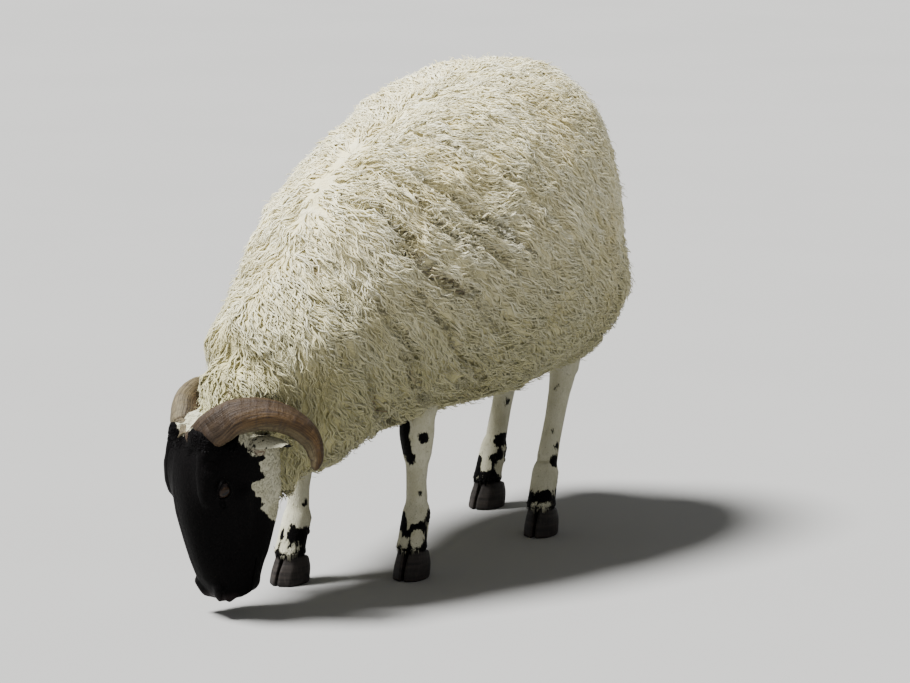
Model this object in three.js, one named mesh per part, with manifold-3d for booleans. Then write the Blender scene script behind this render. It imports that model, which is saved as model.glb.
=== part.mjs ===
// A grazing horned hill sheep at life size, as a still museum model.
// Millimetres. +X is the sheep's left, -Y is the way it faces and +Z is up. The floor is at Z 0.
// The solids of the fleece reach out to the tips of the locks; the face, ears and legs are short-haired.
import * as THREE from "three";
import { mergeVertices } from "three/addons/utils/BufferGeometryUtils.js";
import Module from "manifold-3d";

const wasm = await Module();
wasm.setup();

// ---------------------------------------------------------------- driving dimensions
const GAP = 0.4; // clear space left where two pieces meet
const TRIM = 0.1; // facets flatter than this are joined after a cut
const BACK_HEIGHT = 788; // floor to the top of the fleece over the loins
const BELLY_HEIGHT = 250; // floor to the lowest locks of the belly
const TRUNK_HALF_WIDTH = 245; // at the widest part of the belly
const NECK_FROM = new THREE.Vector3(0, -285, 432); // middle of the join of neck and trunk
const NECK_SLOPE = 20; // degrees that the neck falls at that join
const HEAD_LENGTH = 292; // poll to lips
const HEAD_PITCH = 89.5; // degrees that the face is turned down from level
const HEAD_YAW = -22; // degrees that the head is turned, to the sheep's right
const HEAD_ROLL = 2; // degrees that the crown leans, to the sheep's left
const POLL = new THREE.Vector3(-64, -605, 316); // top of the forehead, between the horns
const EYE_RADIUS = 14;
const EAR_LENGTH = 86;
const KNEE_HEIGHT = 228;
const HOCK_HEIGHT = 280;
const FETLOCK_HEIGHT = 98;
const CORONET_HEIGHT = 40; // top of the hoof wall
const CLAW_WIDTH = 26;

// Where each foot stands, how far its toes point out, and how far its upper joints lie behind the foot.
const FEET = {
  left_foreleg: { side: 1, fore: true, x: 69, y: -192, toe: 6, back: 6 },
  right_foreleg: { side: -1, fore: true, x: -76, y: -318, toe: 6, back: 24 },
  left_hindleg: { side: 1, fore: false, x: 93, y: 178, toe: 8, back: 92 },
  right_hindleg: { side: -1, fore: false, x: -90, y: 316, toe: 8, back: 64 },
};

// ---------------------------------------------------------------- finishes
const finish = (color, roughness, metalness = 0) =>
  new THREE.MeshStandardMaterial({ color, roughness, metalness });
const FLEECE = finish(0xd9cdb4, 0.95);
const BLACK_HAIR = finish(0x0d0c0d, 0.6);
const WHITE_HAIR = finish(0xcfc8b8, 0.85);
const HORN = finish(0x8c7462, 0.5);
const HOOF = finish(0x1c1a19, 0.45);
const EYE = finish(0x2a1c10, 0.1);

// ---------------------------------------------------------------- shape helpers
const rad = THREE.MathUtils.degToRad;
const power = (a, p) => Math.sign(a) * Math.abs(a) ** p;

// A mesh as a solid for cutting, moved by an optional matrix.
function solid(geometry, matrix) {
  let g = geometry.index ? geometry.toNonIndexed() : geometry.clone();
  g.deleteAttribute("normal");
  g.deleteAttribute("uv");
  if (matrix) g.applyMatrix4(matrix);
  g = mergeVertices(g, 1e-3);
  const made = new wasm.Manifold(
    new wasm.Mesh({
      numProp: 3,
      vertProperties: new Float32Array(g.attributes.position.array),
      triVerts: new Uint32Array(g.index.array),
    }),
  );
  return made;
}

function geometryOf(manifold) {
  const mesh = manifold.simplify(TRIM).getMesh();
  const g = new THREE.BufferGeometry();
  g.setAttribute("position", new THREE.BufferAttribute(mesh.vertProperties, mesh.numProp));
  g.setIndex(new THREE.BufferAttribute(mesh.triVerts, 1));
  return g;
}

// A closed surface from rings of points; each ring end is closed by a fan to its middle.
function skinOver(rings) {
  const sides = rings[0].length;
  const mean = (ring) =>
    ring.reduce((sum, p) => sum.add(p), new THREE.Vector3()).divideScalar(sides);
  const points = [...rings.flat(), mean(rings[0]), mean(rings.at(-1))];
  const first = rings.length * sides;
  const last = first + 1;
  const faces = [];
  for (let j = 0; j < sides; j++) {
    const k = (j + 1) % sides;
    faces.push(first, k, j);
    for (let i = 0; i < rings.length - 1; i++) {
      const a = i * sides;
      const b = a + sides;
      faces.push(a + j, a + k, b + j, a + k, b + k, b + j);
    }
    const end = (rings.length - 1) * sides;
    faces.push(last, end + j, end + k);
  }
  const g = new THREE.BufferGeometry().setFromPoints(points);
  g.setIndex(faces);
  return solid(g).volume() < 0 ? turnedOut(g) : g;
}

function turnedOut(g) {
  const index = g.index.array;
  for (let i = 0; i < index.length; i += 3) [index[i], index[i + 1]] = [index[i + 1], index[i]];
  return g;
}

// A tube through sections. A section is its centre, half width, reach above and below the centre,
// squareness (2 is an ellipse) and the yaw of its width. dome rounds off the two ends.
function loft(sections, { rings = 12, sides = 16, dome = [0, 0], grow = 0, domeRings = 4 } = {}) {
  const centres = new THREE.CatmullRomCurve3(sections.map((s) => new THREE.Vector3(...s.at)));
  const along = (key, fallback, t) => {
    const values = sections.map((s) => s[key] ?? fallback);
    const line = new THREE.SplineCurve(values.map((v, i) => new THREE.Vector2(i, v)));
    return line.getPoint(t).y;
  };
  const ring = (t, scale, shift) => {
    const tangent = centres.getTangent(t);
    const yaw = rad(along("yaw", 0, t));
    const side = new THREE.Vector3(Math.cos(yaw), Math.sin(yaw), 0);
    const up = new THREE.Vector3().crossVectors(tangent, side).normalize();
    if (Math.abs(tangent.z) > 0.75 ? up.y > 0 : up.z < 0) up.negate();
    const middle = centres.getPoint(t).addScaledVector(tangent, shift);
    const size = (key, fallback) => along(key, fallback, t) * scale + grow;
    const p = 2 / along("square", 2, t);
    return Array.from({ length: sides }, (_, j) => {
      const a = (2 * Math.PI * j) / sides;
      const reach = Math.sin(a) > 0 ? size("up") : size("down");
      return middle
        .clone()
        .addScaledVector(side, power(Math.cos(a), p) * size("wide"))
        .addScaledVector(up, power(Math.sin(a), p) * reach);
    });
  };
  const made = [];
  const cap = (t, length, sign) =>
    Array.from({ length: domeRings }, (_, i) => {
      const a = ((i + 1) / (domeRings + 0.6)) * (Math.PI / 2);
      return ring(t, Math.cos(a), sign * (length * Math.sin(a) + grow));
    });
  if (dome[0]) made.push(...cap(0, dome[0], -1).reverse());
  for (let i = 0; i <= rings; i++) {
    const shift = (i === 0 && !dome[0] ? -grow : 0) + (i === rings && !dome[1] ? grow : 0);
    made.push(ring(i / rings, 1, shift));
  }
  if (dome[1]) made.push(...cap(1, dome[1], 1));
  return skinOver(made);
}

function ellipsoid([x, y, z], [rx, ry, rz], turn = [0, 0, 0], detail = [16, 10]) {
  const g = new THREE.SphereGeometry(1, ...detail);
  g.scale(rx, ry, rz);
  g.applyMatrix4(new THREE.Matrix4().makeRotationFromEuler(new THREE.Euler(...turn.map(rad))));
  return g.translate(x, y, z);
}

function mesh(name, geometry, material) {
  const made = new THREE.Mesh(geometry, material);
  made.name = name;
  return made;
}

// Takes the tools away from a mesh. Tools are meshes or plain geometries in the floor's frame.
function carve(target, ...tools) {
  target.updateWorldMatrix(true, false);
  const home = target.matrixWorld.clone().invert();
  let left = solid(target.geometry);
  for (const tool of tools) left = left.subtract(solid(tool, home));
  const pieces = left.decompose().sort((a, b) => b.volume() - a.volume());
  target.geometry = geometryOf(pieces[0]);
}

// ---------------------------------------------------------------- trunk, neck and tail
// Sections of the fleece from the rump to the crown, to the tips of the locks.
const TOP = BACK_HEIGHT;
const trunkSection = (y, middle, top, bottom, wide, square = 2.3) => ({
  at: [0, y, middle],
  up: top - middle,
  down: middle - bottom,
  wide,
  square,
});
const BODY = [
  trunkSection(352, 464, TOP - 64, BELLY_HEIGHT + 104, 138, 2.35),
  trunkSection(286, 463, TOP - 12, BELLY_HEIGHT + 62, 186, 2.4),
  trunkSection(200, 461, TOP + 3, BELLY_HEIGHT + 34, TRUNK_HALF_WIDTH - 20, 2.4),
  trunkSection(100, 458, TOP + 1, BELLY_HEIGHT + 10, TRUNK_HALF_WIDTH - 3),
  trunkSection(0, 454, TOP - 20, BELLY_HEIGHT, TRUNK_HALF_WIDTH - 7),
  trunkSection(-120, 449, TOP - 56, BELLY_HEIGHT - 4, 216, 2.1),
  trunkSection(-220, 440, TOP - 92, BELLY_HEIGHT - 12, 188, 2.05),
  { at: [-2, -310, 424], wide: 162, up: 218, down: 198 },
  { at: [-8, -378, 402], wide: 142, up: 164, down: 202 },
  { at: [-16, -434, 384], wide: 126, up: 128, down: 200, yaw: -8 },
  { at: [-24, -480, 370], wide: 110, up: 108, down: 188, yaw: -14 },
];
const bodyShape = () => loft(BODY, { rings: 22, sides: 24, dome: [48, 58], domeRings: 3 });

// A block that fills everything ahead of (or, with sign -1, behind) the join of neck and trunk.
function aheadOfJoin(sign) {
  const size = 2000;
  const block = new THREE.BoxGeometry(size, size, size);
  block.translate(0, -sign * (size / 2 + GAP / 2), 0);
  block.rotateX(rad(NECK_SLOPE));
  return solid(block.translate(...NECK_FROM));
}

const TAIL = [
  { at: [0, 352, 668], wide: 40, up: 30, down: 22 },
  { at: [0, 388, 590], wide: 46, up: 30, down: 24 },
  { at: [0, 396, 500], wide: 42, up: 28, down: 22 },
  { at: [0, 392, 412], wide: 24, up: 18, down: 14 },
];

// ---------------------------------------------------------------- head
// In the head's own frame the face looks along -Y with its brow up: +X is left, +Z is the brow side.
// A profile row is the distance from the poll, brow line, jaw line, half width and squareness.
const headSection = (from, brow, jaw, wide, square = 2.2) => ({
  at: [0, -from, (brow + jaw) / 2],
  up: (brow - jaw) / 2,
  down: (brow - jaw) / 2,
  wide,
  square,
});
const SKULL = [
  headSection(-6, -28, -102, 46),
  headSection(22, 6, -130, 59, 2.3),
  headSection(58, 22, -147, 64, 2.4),
  headSection(96, 26, -152, 65, 2.4),
  headSection(132, 22, -151, 60, 2.4),
  headSection(168, 13, -148, 52, 2.5),
  headSection(204, 2, -140, 46, 2.5),
  headSection(238, -12, -130, 43, 2.5),
  headSection(264, -31, -121, 39, 2.5),
];
const EYE_AT = new THREE.Vector3(53, -104, -20);

function headShape(grow = 0) {
  let made = solid(loft(SKULL, { rings: 11, sides: 14, dome: [20, HEAD_LENGTH - 264], grow, domeRings: 2 }));
  const small = [8, 6];
  for (const side of [1, -1]) {
    const lumps = [
      ellipsoid([side * 43, -80, 1], [20, 56, 20], [0, 0, side * 3], small), // ridge from the horn to over the eye
      ellipsoid([side * 38, -112, -98], [22, 46, 42], [0, 0, 0], small), // cheek
      ellipsoid([side * 19, -268, -46], [15, 21, 16], [0, 0, 0], [7, 5]), // nostril
      ellipsoid([side * 30, -16, -14], [28, 27, 22], [0, 0, 0], small), // horn core
    ];
    for (const lump of lumps) made = made.add(solid(grow ? grown(lump) : lump));
  }
  const chin = ellipsoid([0, -262, -106], [31, 25, 16], [0, 0, 0], [8, 5]);
  made = made.add(solid(grow ? grown(chin) : chin));
  return made;
}

// Everything of the head below the mouth line, lowered by a little.
function belowMouth(lowered) {
  const reach = -HEAD_LENGTH - 60;
  const side = new THREE.Shape([
    new THREE.Vector2(reach, -88),
    new THREE.Vector2(-238, -89),
    new THREE.Vector2(-170, -104),
    new THREE.Vector2(-70, -124),
    new THREE.Vector2(-70, -260),
    new THREE.Vector2(reach, -260),
  ]);
  const block = new THREE.ExtrudeGeometry(side, { depth: 300, bevelEnabled: false });
  block.translate(0, -lowered, -150);
  block.applyMatrix4(new THREE.Matrix4().makeBasis(
    new THREE.Vector3(0, 1, 0),
    new THREE.Vector3(0, 0, 1),
    new THREE.Vector3(1, 0, 0),
  ));
  return solid(block);
}

// The woolly crown between and behind the horns, in the head's frame.
const CROWN_AT = [4, 12, -98];
const CROWN_SIZE = [76, 76, 78];
// The wool that hangs behind the jaw, in the head's frame.
const THROAT_AT = [20, -88, -150];
const THROAT_SIZE = [44, 50, 38];

// Along a horn: out from the root, toward the crown and back, in its own frame, and its thickness.
const HORN_ROOT = new THREE.Vector3(34, -16, -12);
const HORN_PATH = [
  { out: -10, up: -14, back: -2, thick: 27 },
  { out: 6, up: 1, back: 6, thick: 28.5 },
  { out: 31, up: 20, back: 24, thick: 26 },
  { out: 57, up: 27, back: 56, thick: 22.5 },
  { out: 78, up: 16, back: 91, thick: 19 },
  { out: 91, up: -8, back: 117, thick: 16 },
  { out: 102, up: -35, back: 121, thick: 11.5 },
  { out: 106, up: -51, back: 116, thick: 6.5 },
];

// A horn leaves the brow, sweeps out and back round the ear and comes down and forward to its tip.
function hornShape(side) {
  const turns = 18;
  const sides = 9;
  const path = new THREE.CatmullRomCurve3(HORN_PATH.map(({ out, up, back }) =>
    new THREE.Vector3(side * out, up, -back).add(new THREE.Vector3(side, 1, 1).multiply(HORN_ROOT))));
  const thickness = new THREE.SplineCurve(HORN_PATH.map(({ thick }, i) => new THREE.Vector2(i, thick)));
  const ring = (_, i) => {
    const t = i / turns;
    const tangent = path.getTangent(t);
    const outward = new THREE.Vector3(side, 0, 0).addScaledVector(tangent, -side * tangent.x).normalize();
    const across = new THREE.Vector3().crossVectors(tangent, outward);
    const thick = thickness.getPoint(t).y * (1 + 0.03 * Math.cos(i * Math.PI));
    return Array.from({ length: sides }, (_, j) => {
      const a = (2 * Math.PI * j) / sides;
      const keel = 1 + 0.08 * Math.cos(3 * a);
      return path
        .getPoint(t)
        .addScaledVector(outward, Math.cos(a) * thick * 0.84 * keel)
        .addScaledVector(across, Math.sin(a) * thick * 1.06 * keel);
    });
  };
  return skinOver(Array.from({ length: turns + 1 }, ring));
}

// An ear is a cupped leaf, thickest at its root.
function earShape(side) {
  const lengthwise = 8;
  const crosswise = 6;
  const rings = [];
  for (let i = 0; i <= lengthwise; i++) {
    const t = 0.02 + (0.96 * i) / lengthwise;
    const half = 21 * Math.sin(Math.PI * Math.min(1, 0.12 + 0.88 * t) ** 0.75) ** 0.8 + 1.5;
    const thick = 3.2 - 1.8 * t;
    const cup = 0.9 * (1 - 0.45 * t);
    const droop = -8 * t * t;
    const leaf = [];
    for (const face of [1, -1])
      for (let j = 0; j <= crosswise; j++) {
        const v = (face * (2 * j - crosswise)) / crosswise;
        const bend = cup * half * (1 - v * v) * 0.75;
        const edge = Math.abs(v) === 1 ? 0.35 : 1;
        leaf.push(new THREE.Vector3(EAR_LENGTH * t, v * half, bend + face * thick * edge + droop));
      }
    rings.push(leaf);
  }
  const g = skinOver(rings);
  if (side < 0) turnedOut(g.scale(-1, 1, 1));
  return g;
}

// ---------------------------------------------------------------- legs
// In a leg's own frame the foot points along -Y and the ground under its middle is the origin.
// The upper end of each leg runs up into the fleece, which cuts it off.
const foreSections = (back) => [
  { at: [0, back + 20, 360], wide: 34, up: 40, down: 38 },
  { at: [0, back * 0.5 + 14, KNEE_HEIGHT + 36], wide: 25, up: 27, down: 26 },
  { at: [0, back * 0.5 + 10, KNEE_HEIGHT], wide: 27, up: 29, down: 26, square: 2.4 },
  { at: [0, back * 0.5 + 11, KNEE_HEIGHT - 36], wide: 21, up: 20, down: 23 },
  { at: [0, back * 0.3 + 8, 150], wide: 17.5, up: 17, down: 21 },
  { at: [0, 12, FETLOCK_HEIGHT + 22], wide: 19, up: 18, down: 23 },
];
const hindSections = (back) => [
  { at: [0, back - 18, 380], wide: 34, up: 44, down: 44 },
  { at: [0, back + 4, HOCK_HEIGHT + 20], wide: 23, up: 32, down: 34 },
  { at: [0, back - 2, HOCK_HEIGHT - 14], wide: 24, up: 28, down: 32 },
  { at: [0, back * 0.8 - 2, HOCK_HEIGHT - 54], wide: 19, up: 22, down: 25 },
  { at: [0, back * 0.42 + 4, 170], wide: 17.5, up: 19, down: 22 },
  { at: [0, 16, FETLOCK_HEIGHT + 22], wide: 19, up: 19, down: 23 },
];
const PASTERN = [
  { at: [0, 13, FETLOCK_HEIGHT + 21], wide: 19, up: 18, down: 23 },
  { at: [0, 9, FETLOCK_HEIGHT], wide: 24, up: 23, down: 27, square: 2.3 },
  { at: [0, -4, 66], wide: 23, up: 21, down: 23, square: 2.3 },
  { at: [0, -8, CORONET_HEIGHT - 4], wide: 28, up: 30, down: 29, square: 2.6 },
];

// One of the two claws of a foot: a wedge with a flat sole, a curved outer wall and a flat inner wall.
function clawShape(side) {
  const levels = [
    { z: 0, toe: -47, heel: 26, wide: 1 },
    { z: 14, toe: -43, heel: 28, wide: 1 },
    { z: 28, toe: -38, heel: 30, wide: 0.98 },
    { z: CORONET_HEIGHT + 6, toe: -31, heel: 30, wide: 0.92 },
  ];
  const steps = 6;
  const rings = levels.map(({ z, toe, heel, wide }) => {
    const slope = z > CORONET_HEIGHT ? 0.35 : 0;
    const outer = Array.from({ length: steps + 1 }, (_, i) => {
      const t = i / steps;
      const y = toe + (heel - toe) * t;
      const bulge = (4 * t * (1 - t)) ** 0.42 * (0.9 + 0.1 * t);
      return new THREE.Vector3(side * (2.2 + CLAW_WIDTH * wide * bulge), y, z - slope * (t - 0.3) * 20);
    });
    const inner = [0.75, 0.5, 0.25].map((t) => {
      const y = toe + (heel - toe) * t;
      return new THREE.Vector3(side * 1.6, y, z - slope * (t - 0.3) * 20);
    });
    return [...outer, ...inner];
  });
  return skinOver(rings);
}

function leg(name, { side, fore, x, y, toe, back }, fleece) {
  const group = new THREE.Group();
  group.position.set(x, y, 0);
  group.rotation.z = rad(side * toe);
  const pasternShape = (grow) => loft(PASTERN, { rings: 4, sides: 10, grow });
  const sections = fore ? foreSections(back) : hindSections(back);
  const shank = mesh(name, loft(sections, { rings: 10, sides: 10 }), WHITE_HAIR);
  const pastern = mesh(`${name}_pastern`, pasternShape(0), WHITE_HAIR);
  const both = [1, -1].map((s) => [s, s === side ? "outer" : "inner"]);
  const claws = both.map(([s, word]) => mesh(`${name}_${word}_claw`, clawShape(s), HOOF));
  const dewclaws = both.map(([s, word]) =>
    mesh(`${name}_${word}_dewclaw`, ellipsoid([s * 12, 31, 75], [7, 7, 10], [-24, 0, 0], [6, 4]), HOOF));
  group.add(shank, pastern, ...claws, ...dewclaws);
  group.updateWorldMatrix(true, true);
  const placed = (shape) => shape.clone().applyMatrix4(group.matrixWorld);
  carve(shank, ...fleece, placed(pasternShape(GAP)));
  carve(pastern, ...[...claws, ...dewclaws].map((piece) => placed(grown(piece.geometry))));
  return group;
}

// The same closed shape with each corner moved out along its faces' mean normal by the gap.
function grown(geometry, by = GAP) {
  let g = geometry.clone();
  g.deleteAttribute("normal");
  g.deleteAttribute("uv");
  g = mergeVertices(g, 1e-3);
  g.computeVertexNormals();
  const { position, normal } = g.attributes;
  for (let i = 0; i < position.count; i++)
    position.setXYZ(i, position.getX(i) + normal.getX(i) * by * 1.4,
      position.getY(i) + normal.getY(i) * by * 1.4, position.getZ(i) + normal.getZ(i) * by * 1.4);
  return g;
}

// The woolly upper hind leg, from the stifle to just above the hock.
function thighShape({ side, x, y, back }, grow = 0) {
  const hock = y + back;
  return loft([
    { at: [side * 92, hock * 0.6 + 34, 520], wide: 112, up: 118, down: 104 },
    { at: [side * 104, hock * 0.8 + 8, 420], wide: 108, up: 122, down: 106 },
    { at: [x + side * 9, hock - 30, 346], wide: 80, up: 92, down: 84 },
    { at: [x + side * 3, hock - 9, HOCK_HEIGHT + 22], wide: 42, up: 50, down: 50 },
  ], { rings: 8, sides: 14, dome: [50, 12], grow, domeRings: 2 });
}

// ---------------------------------------------------------------- assembly
const sheep = new THREE.Group();
const body = solid(bodyShape());
const trunk = mesh("trunk", geometryOf(body.intersect(aheadOfJoin(-1))), FLEECE);
const neck = mesh("neck", geometryOf(body.intersect(aheadOfJoin(1))), FLEECE);
const trunkTool = grown(trunk.geometry);

const head = new THREE.Group();
head.position.copy(POLL);
head.rotation.set(rad(HEAD_PITCH), rad(HEAD_ROLL), rad(HEAD_YAW), "ZYX");
const skull = headShape();
const jaw = mesh("lower_jaw", geometryOf(skull.intersect(belowMouth(GAP))), BLACK_HAIR);
const face = mesh("head", geometryOf(skull.subtract(belowMouth(0))), BLACK_HAIR);
head.add(face, jaw);
head.updateWorldMatrix(true, true);
const grownInPlace = (part) => {
  part.updateWorldMatrix(true, false);
  return grown(part.geometry).applyMatrix4(part.matrixWorld);
};
const headTool = geometryOf(headShape(GAP)).applyMatrix4(head.matrixWorld);

const neckTools = [headTool];
for (const [side, word] of [[1, "left"], [-1, "right"]]) {
  const horn = mesh(`horn_${word}`, hornShape(side), HORN);
  const eye = mesh(`eye_${word}`, ellipsoid([0, 0, 0], Array(3).fill(EYE_RADIUS), [0, 0, 0], [10, 7]), EYE);
  eye.position.set(side * EYE_AT.x, EYE_AT.y, EYE_AT.z);
  const ear = mesh(`ear_${word}`, earShape(side), WHITE_HAIR);
  ear.position.set(side * 50, -46, -74);
  ear.rotation.set(rad(-70), side * rad(9), side * rad(14), "ZYX");
  head.add(horn, eye, ear);
  carve(ear, headTool, grownInPlace(horn));
  carve(face, grownInPlace(horn), grownInPlace(eye));
  neckTools.push(grownInPlace(horn), grownInPlace(ear));
}
const crown = ellipsoid(CROWN_AT, CROWN_SIZE, [0, 0, 0], [12, 8]).applyMatrix4(head.matrixWorld);
const throat = ellipsoid(THROAT_AT, THROAT_SIZE, [0, 0, 0], [9, 6]).applyMatrix4(head.matrixWorld);
neck.geometry = geometryOf(solid(neck.geometry).add(solid(crown)).add(solid(throat)));
carve(neck, ...neckTools);

const tail = mesh("tail", loft(TAIL, { rings: 6, sides: 10, dome: [18, 18], domeRings: 2 }), FLEECE);
const thighTools = {};
for (const [name, foot] of Object.entries(FEET)) {
  if (foot.fore) continue;
  const thigh = mesh(name.replace("hindleg", "thigh"), thighShape(foot), FLEECE);
  carve(thigh, trunkTool);
  thighTools[name] = thighShape(foot, GAP);
  sheep.add(thigh);
}
carve(tail, trunkTool, ...Object.values(thighTools));
for (const [name, foot] of Object.entries(FEET)) {
  const covers = foot.fore ? [trunkTool, grownInPlace(neck)] : [trunkTool, thighTools[name]];
  sheep.add(leg(name, foot, covers));
}
sheep.add(trunk, neck, tail, head);

// The origin lies on the floor under the middle of the whole animal.
const middle = new THREE.Box3().setFromObject(sheep, true).getCenter(new THREE.Vector3());
sheep.position.set(-middle.x, -middle.y, 0);
sheep.updateMatrixWorld(true);

export default sheep;
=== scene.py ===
import math

import bpy
import numpy as np
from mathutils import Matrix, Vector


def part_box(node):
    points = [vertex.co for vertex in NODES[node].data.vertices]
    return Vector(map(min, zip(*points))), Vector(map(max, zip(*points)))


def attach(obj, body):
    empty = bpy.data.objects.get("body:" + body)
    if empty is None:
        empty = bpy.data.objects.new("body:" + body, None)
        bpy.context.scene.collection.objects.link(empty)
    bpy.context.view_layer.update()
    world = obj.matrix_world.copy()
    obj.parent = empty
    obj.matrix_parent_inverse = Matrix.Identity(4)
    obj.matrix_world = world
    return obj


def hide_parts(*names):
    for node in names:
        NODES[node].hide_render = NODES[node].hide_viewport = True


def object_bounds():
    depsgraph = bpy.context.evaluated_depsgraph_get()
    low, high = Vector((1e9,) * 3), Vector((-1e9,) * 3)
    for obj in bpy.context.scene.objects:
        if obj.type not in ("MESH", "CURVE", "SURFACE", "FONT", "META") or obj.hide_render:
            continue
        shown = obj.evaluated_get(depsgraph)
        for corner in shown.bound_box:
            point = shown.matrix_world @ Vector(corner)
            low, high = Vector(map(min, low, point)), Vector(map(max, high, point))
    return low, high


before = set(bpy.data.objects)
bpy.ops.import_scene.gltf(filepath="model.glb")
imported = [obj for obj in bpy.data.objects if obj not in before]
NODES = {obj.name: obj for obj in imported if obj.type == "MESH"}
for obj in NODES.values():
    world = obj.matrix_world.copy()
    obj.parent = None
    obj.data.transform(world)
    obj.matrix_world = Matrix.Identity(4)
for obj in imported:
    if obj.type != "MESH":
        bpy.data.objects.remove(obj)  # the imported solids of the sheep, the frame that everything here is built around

import openvdb
from mathutils import Matrix, Vector
from mathutils.kdtree import KDTree

# Metres, +X the sheep's left, -Y the way it faces, +Z up, floor at Z 0.
SOLIDS_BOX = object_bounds()
LEGS = ("left_foreleg", "right_foreleg", "left_hindleg", "right_hindleg")
FLEECE_NODES = ("trunk", "neck", "tail", "left_thigh", "right_thigh")
random = np.random.default_rng(20240611)

SKIN_TRIANGLES = 42_000
HEAD_TRIANGLES = 82_000
LEG_TRIANGLES = 9_000
UNDERWOOL_TRIANGLES = 64_000
STRANDS = 29_000
STRAND_SPACING = 0.0125  # metres between the bundles that the strands of the fleece gather in
HEAD_TUFTS = 4.6e4  # for each square metre of skin, before the growth of the place
LEG_TUFTS = 6.0e4
SHOULDER_OUT = 0.07  # where the upper end of a foreleg heads for, beside the middle of the trunk
STUMP_LENGTH = 0.10  # how far a leg runs on inside the body
PARTING_DEPTH = 0.018


# ---------------------------------------------------------------- meshes as arrays
def arrays_of(obj):
    """The corners and triangles of a mesh object."""
    mesh = obj.data
    mesh.calc_loop_triangles()
    points = np.empty(len(mesh.vertices) * 3, np.float32)
    mesh.vertices.foreach_get("co", points)
    faces = np.empty(len(mesh.loop_triangles) * 3, np.int32)
    mesh.loop_triangles.foreach_get("vertices", faces)
    return points.reshape(-1, 3), faces.reshape(-1, 3)


def piece_from(name, points, faces, smooth=True):
    """A mesh object from corners and equal-sized faces, its normals outward."""
    mesh = bpy.data.meshes.new(name)
    sides = faces.shape[1]
    mesh.vertices.add(len(points))
    mesh.vertices.foreach_set("co", np.ascontiguousarray(points, np.float32).ravel())
    mesh.loops.add(faces.size)
    mesh.loops.foreach_set("vertex_index", np.ascontiguousarray(faces, np.int32).ravel())
    mesh.polygons.add(len(faces))
    mesh.polygons.foreach_set("loop_start", np.arange(0, faces.size, sides, dtype=np.int32))
    mesh.polygons.foreach_set("use_smooth", np.full(len(faces), smooth))
    mesh.update(calc_edges=True)
    obj = bpy.data.objects.new(name, mesh)
    bpy.context.scene.collection.objects.link(obj)
    return obj


def attribute(obj, name, values):
    """Stores a number for each corner point."""
    made = obj.data.attributes.new(name, "FLOAT", "POINT")
    made.data.foreach_set("value", np.ascontiguousarray(values, np.float32))


def uv_map(obj, name, coordinates):
    """A UV map from one coordinate pair for each corner point."""
    layer = obj.data.uv_layers.new(name=name)
    loops = np.empty(len(obj.data.loops), np.int32)
    obj.data.loops.foreach_get("vertex_index", loops)
    layer.data.foreach_set("uv", np.ascontiguousarray(coordinates[loops], np.float32).ravel())


def applied(obj, kind, **settings):
    """Adds a modifier, sets it and keeps its result as the object's own mesh."""
    modifier = obj.modifiers.new(kind.title(), kind)
    for key, value in settings.items():
        setattr(modifier, key, value)
    graph = bpy.context.evaluated_depsgraph_get()
    mesh = bpy.data.meshes.new_from_object(obj.evaluated_get(graph), depsgraph=graph)
    obj.modifiers.clear()
    obj.data = mesh
    return obj


def smooth_step(x, low=0.0, high=1.0):
    t = np.clip((x - low) / (high - low), 0, 1)
    return t * t * (3 - 2 * t)


def unit(vectors):
    return vectors / np.maximum(np.linalg.norm(vectors, axis=-1, keepdims=True), 1e-9)


class Waves:
    """Smooth noise around 0 with features of a given size, as a sum of sine waves."""

    def __init__(self, size, seed, count=9):
        draw = np.random.default_rng(seed)
        ways = unit(draw.normal(size=(count, 3))) * draw.uniform(0.6, 1.5, (count, 1))
        self.waves = ways * 2 * math.pi / size
        self.phases = draw.uniform(0, 2 * math.pi, count)

    def __call__(self, points):
        return np.sin(points @ self.waves.T + self.phases).mean(axis=-1) * 2.2


# ---------------------------------------------------------------- places on the animal
class Place:
    """A turned frame of its own on the animal, such as the head's."""

    def __init__(self, origin, turn):
        self.origin = np.array(origin)
        self.turn = np.array(turn)

    def inward(self, points):
        return (np.asarray(points) - self.origin) @ self.turn

    def outward(self, points):
        return np.asarray(points) @ self.turn.T + self.origin


def centre_of(node):
    low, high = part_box(node)
    return np.array((low + high) / 2)


# In the head's frame the face looks along -Y with its brow up: +X left, +Z the brow side.
HEAD_TURN = (
    Matrix.Rotation(math.radians(-22), 3, "Z")
    @ Matrix.Rotation(math.radians(2), 3, "Y")
    @ Matrix.Rotation(math.radians(89.5), 3, "X")
)
EYE_IN_HEAD = np.array((0.053, -0.104, -0.020))
EYE_RADIUS = 0.014
eye_middle = (centre_of("eye_left") + centre_of("eye_right")) / 2
HEAD = Place(eye_middle - np.array(HEAD_TURN @ Vector((0, EYE_IN_HEAD[1], EYE_IN_HEAD[2]))), HEAD_TURN)


def foot_place(leg):
    """On the ground under the foot, -Y the way the toes point."""
    toes = 6 if "fore" in leg else 8
    side = 1 if leg.startswith("left") else -1
    claws = (centre_of(f"{leg}_outer_claw") + centre_of(f"{leg}_inner_claw")) / 2
    turn = np.array(Matrix.Rotation(math.radians(side * toes), 3, "Z"))
    return Place(np.array((claws[0], claws[1], 0)) + turn @ np.array((0, 0.0085, 0)), turn)


FEET = {leg: foot_place(leg) for leg in LEGS}


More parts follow.
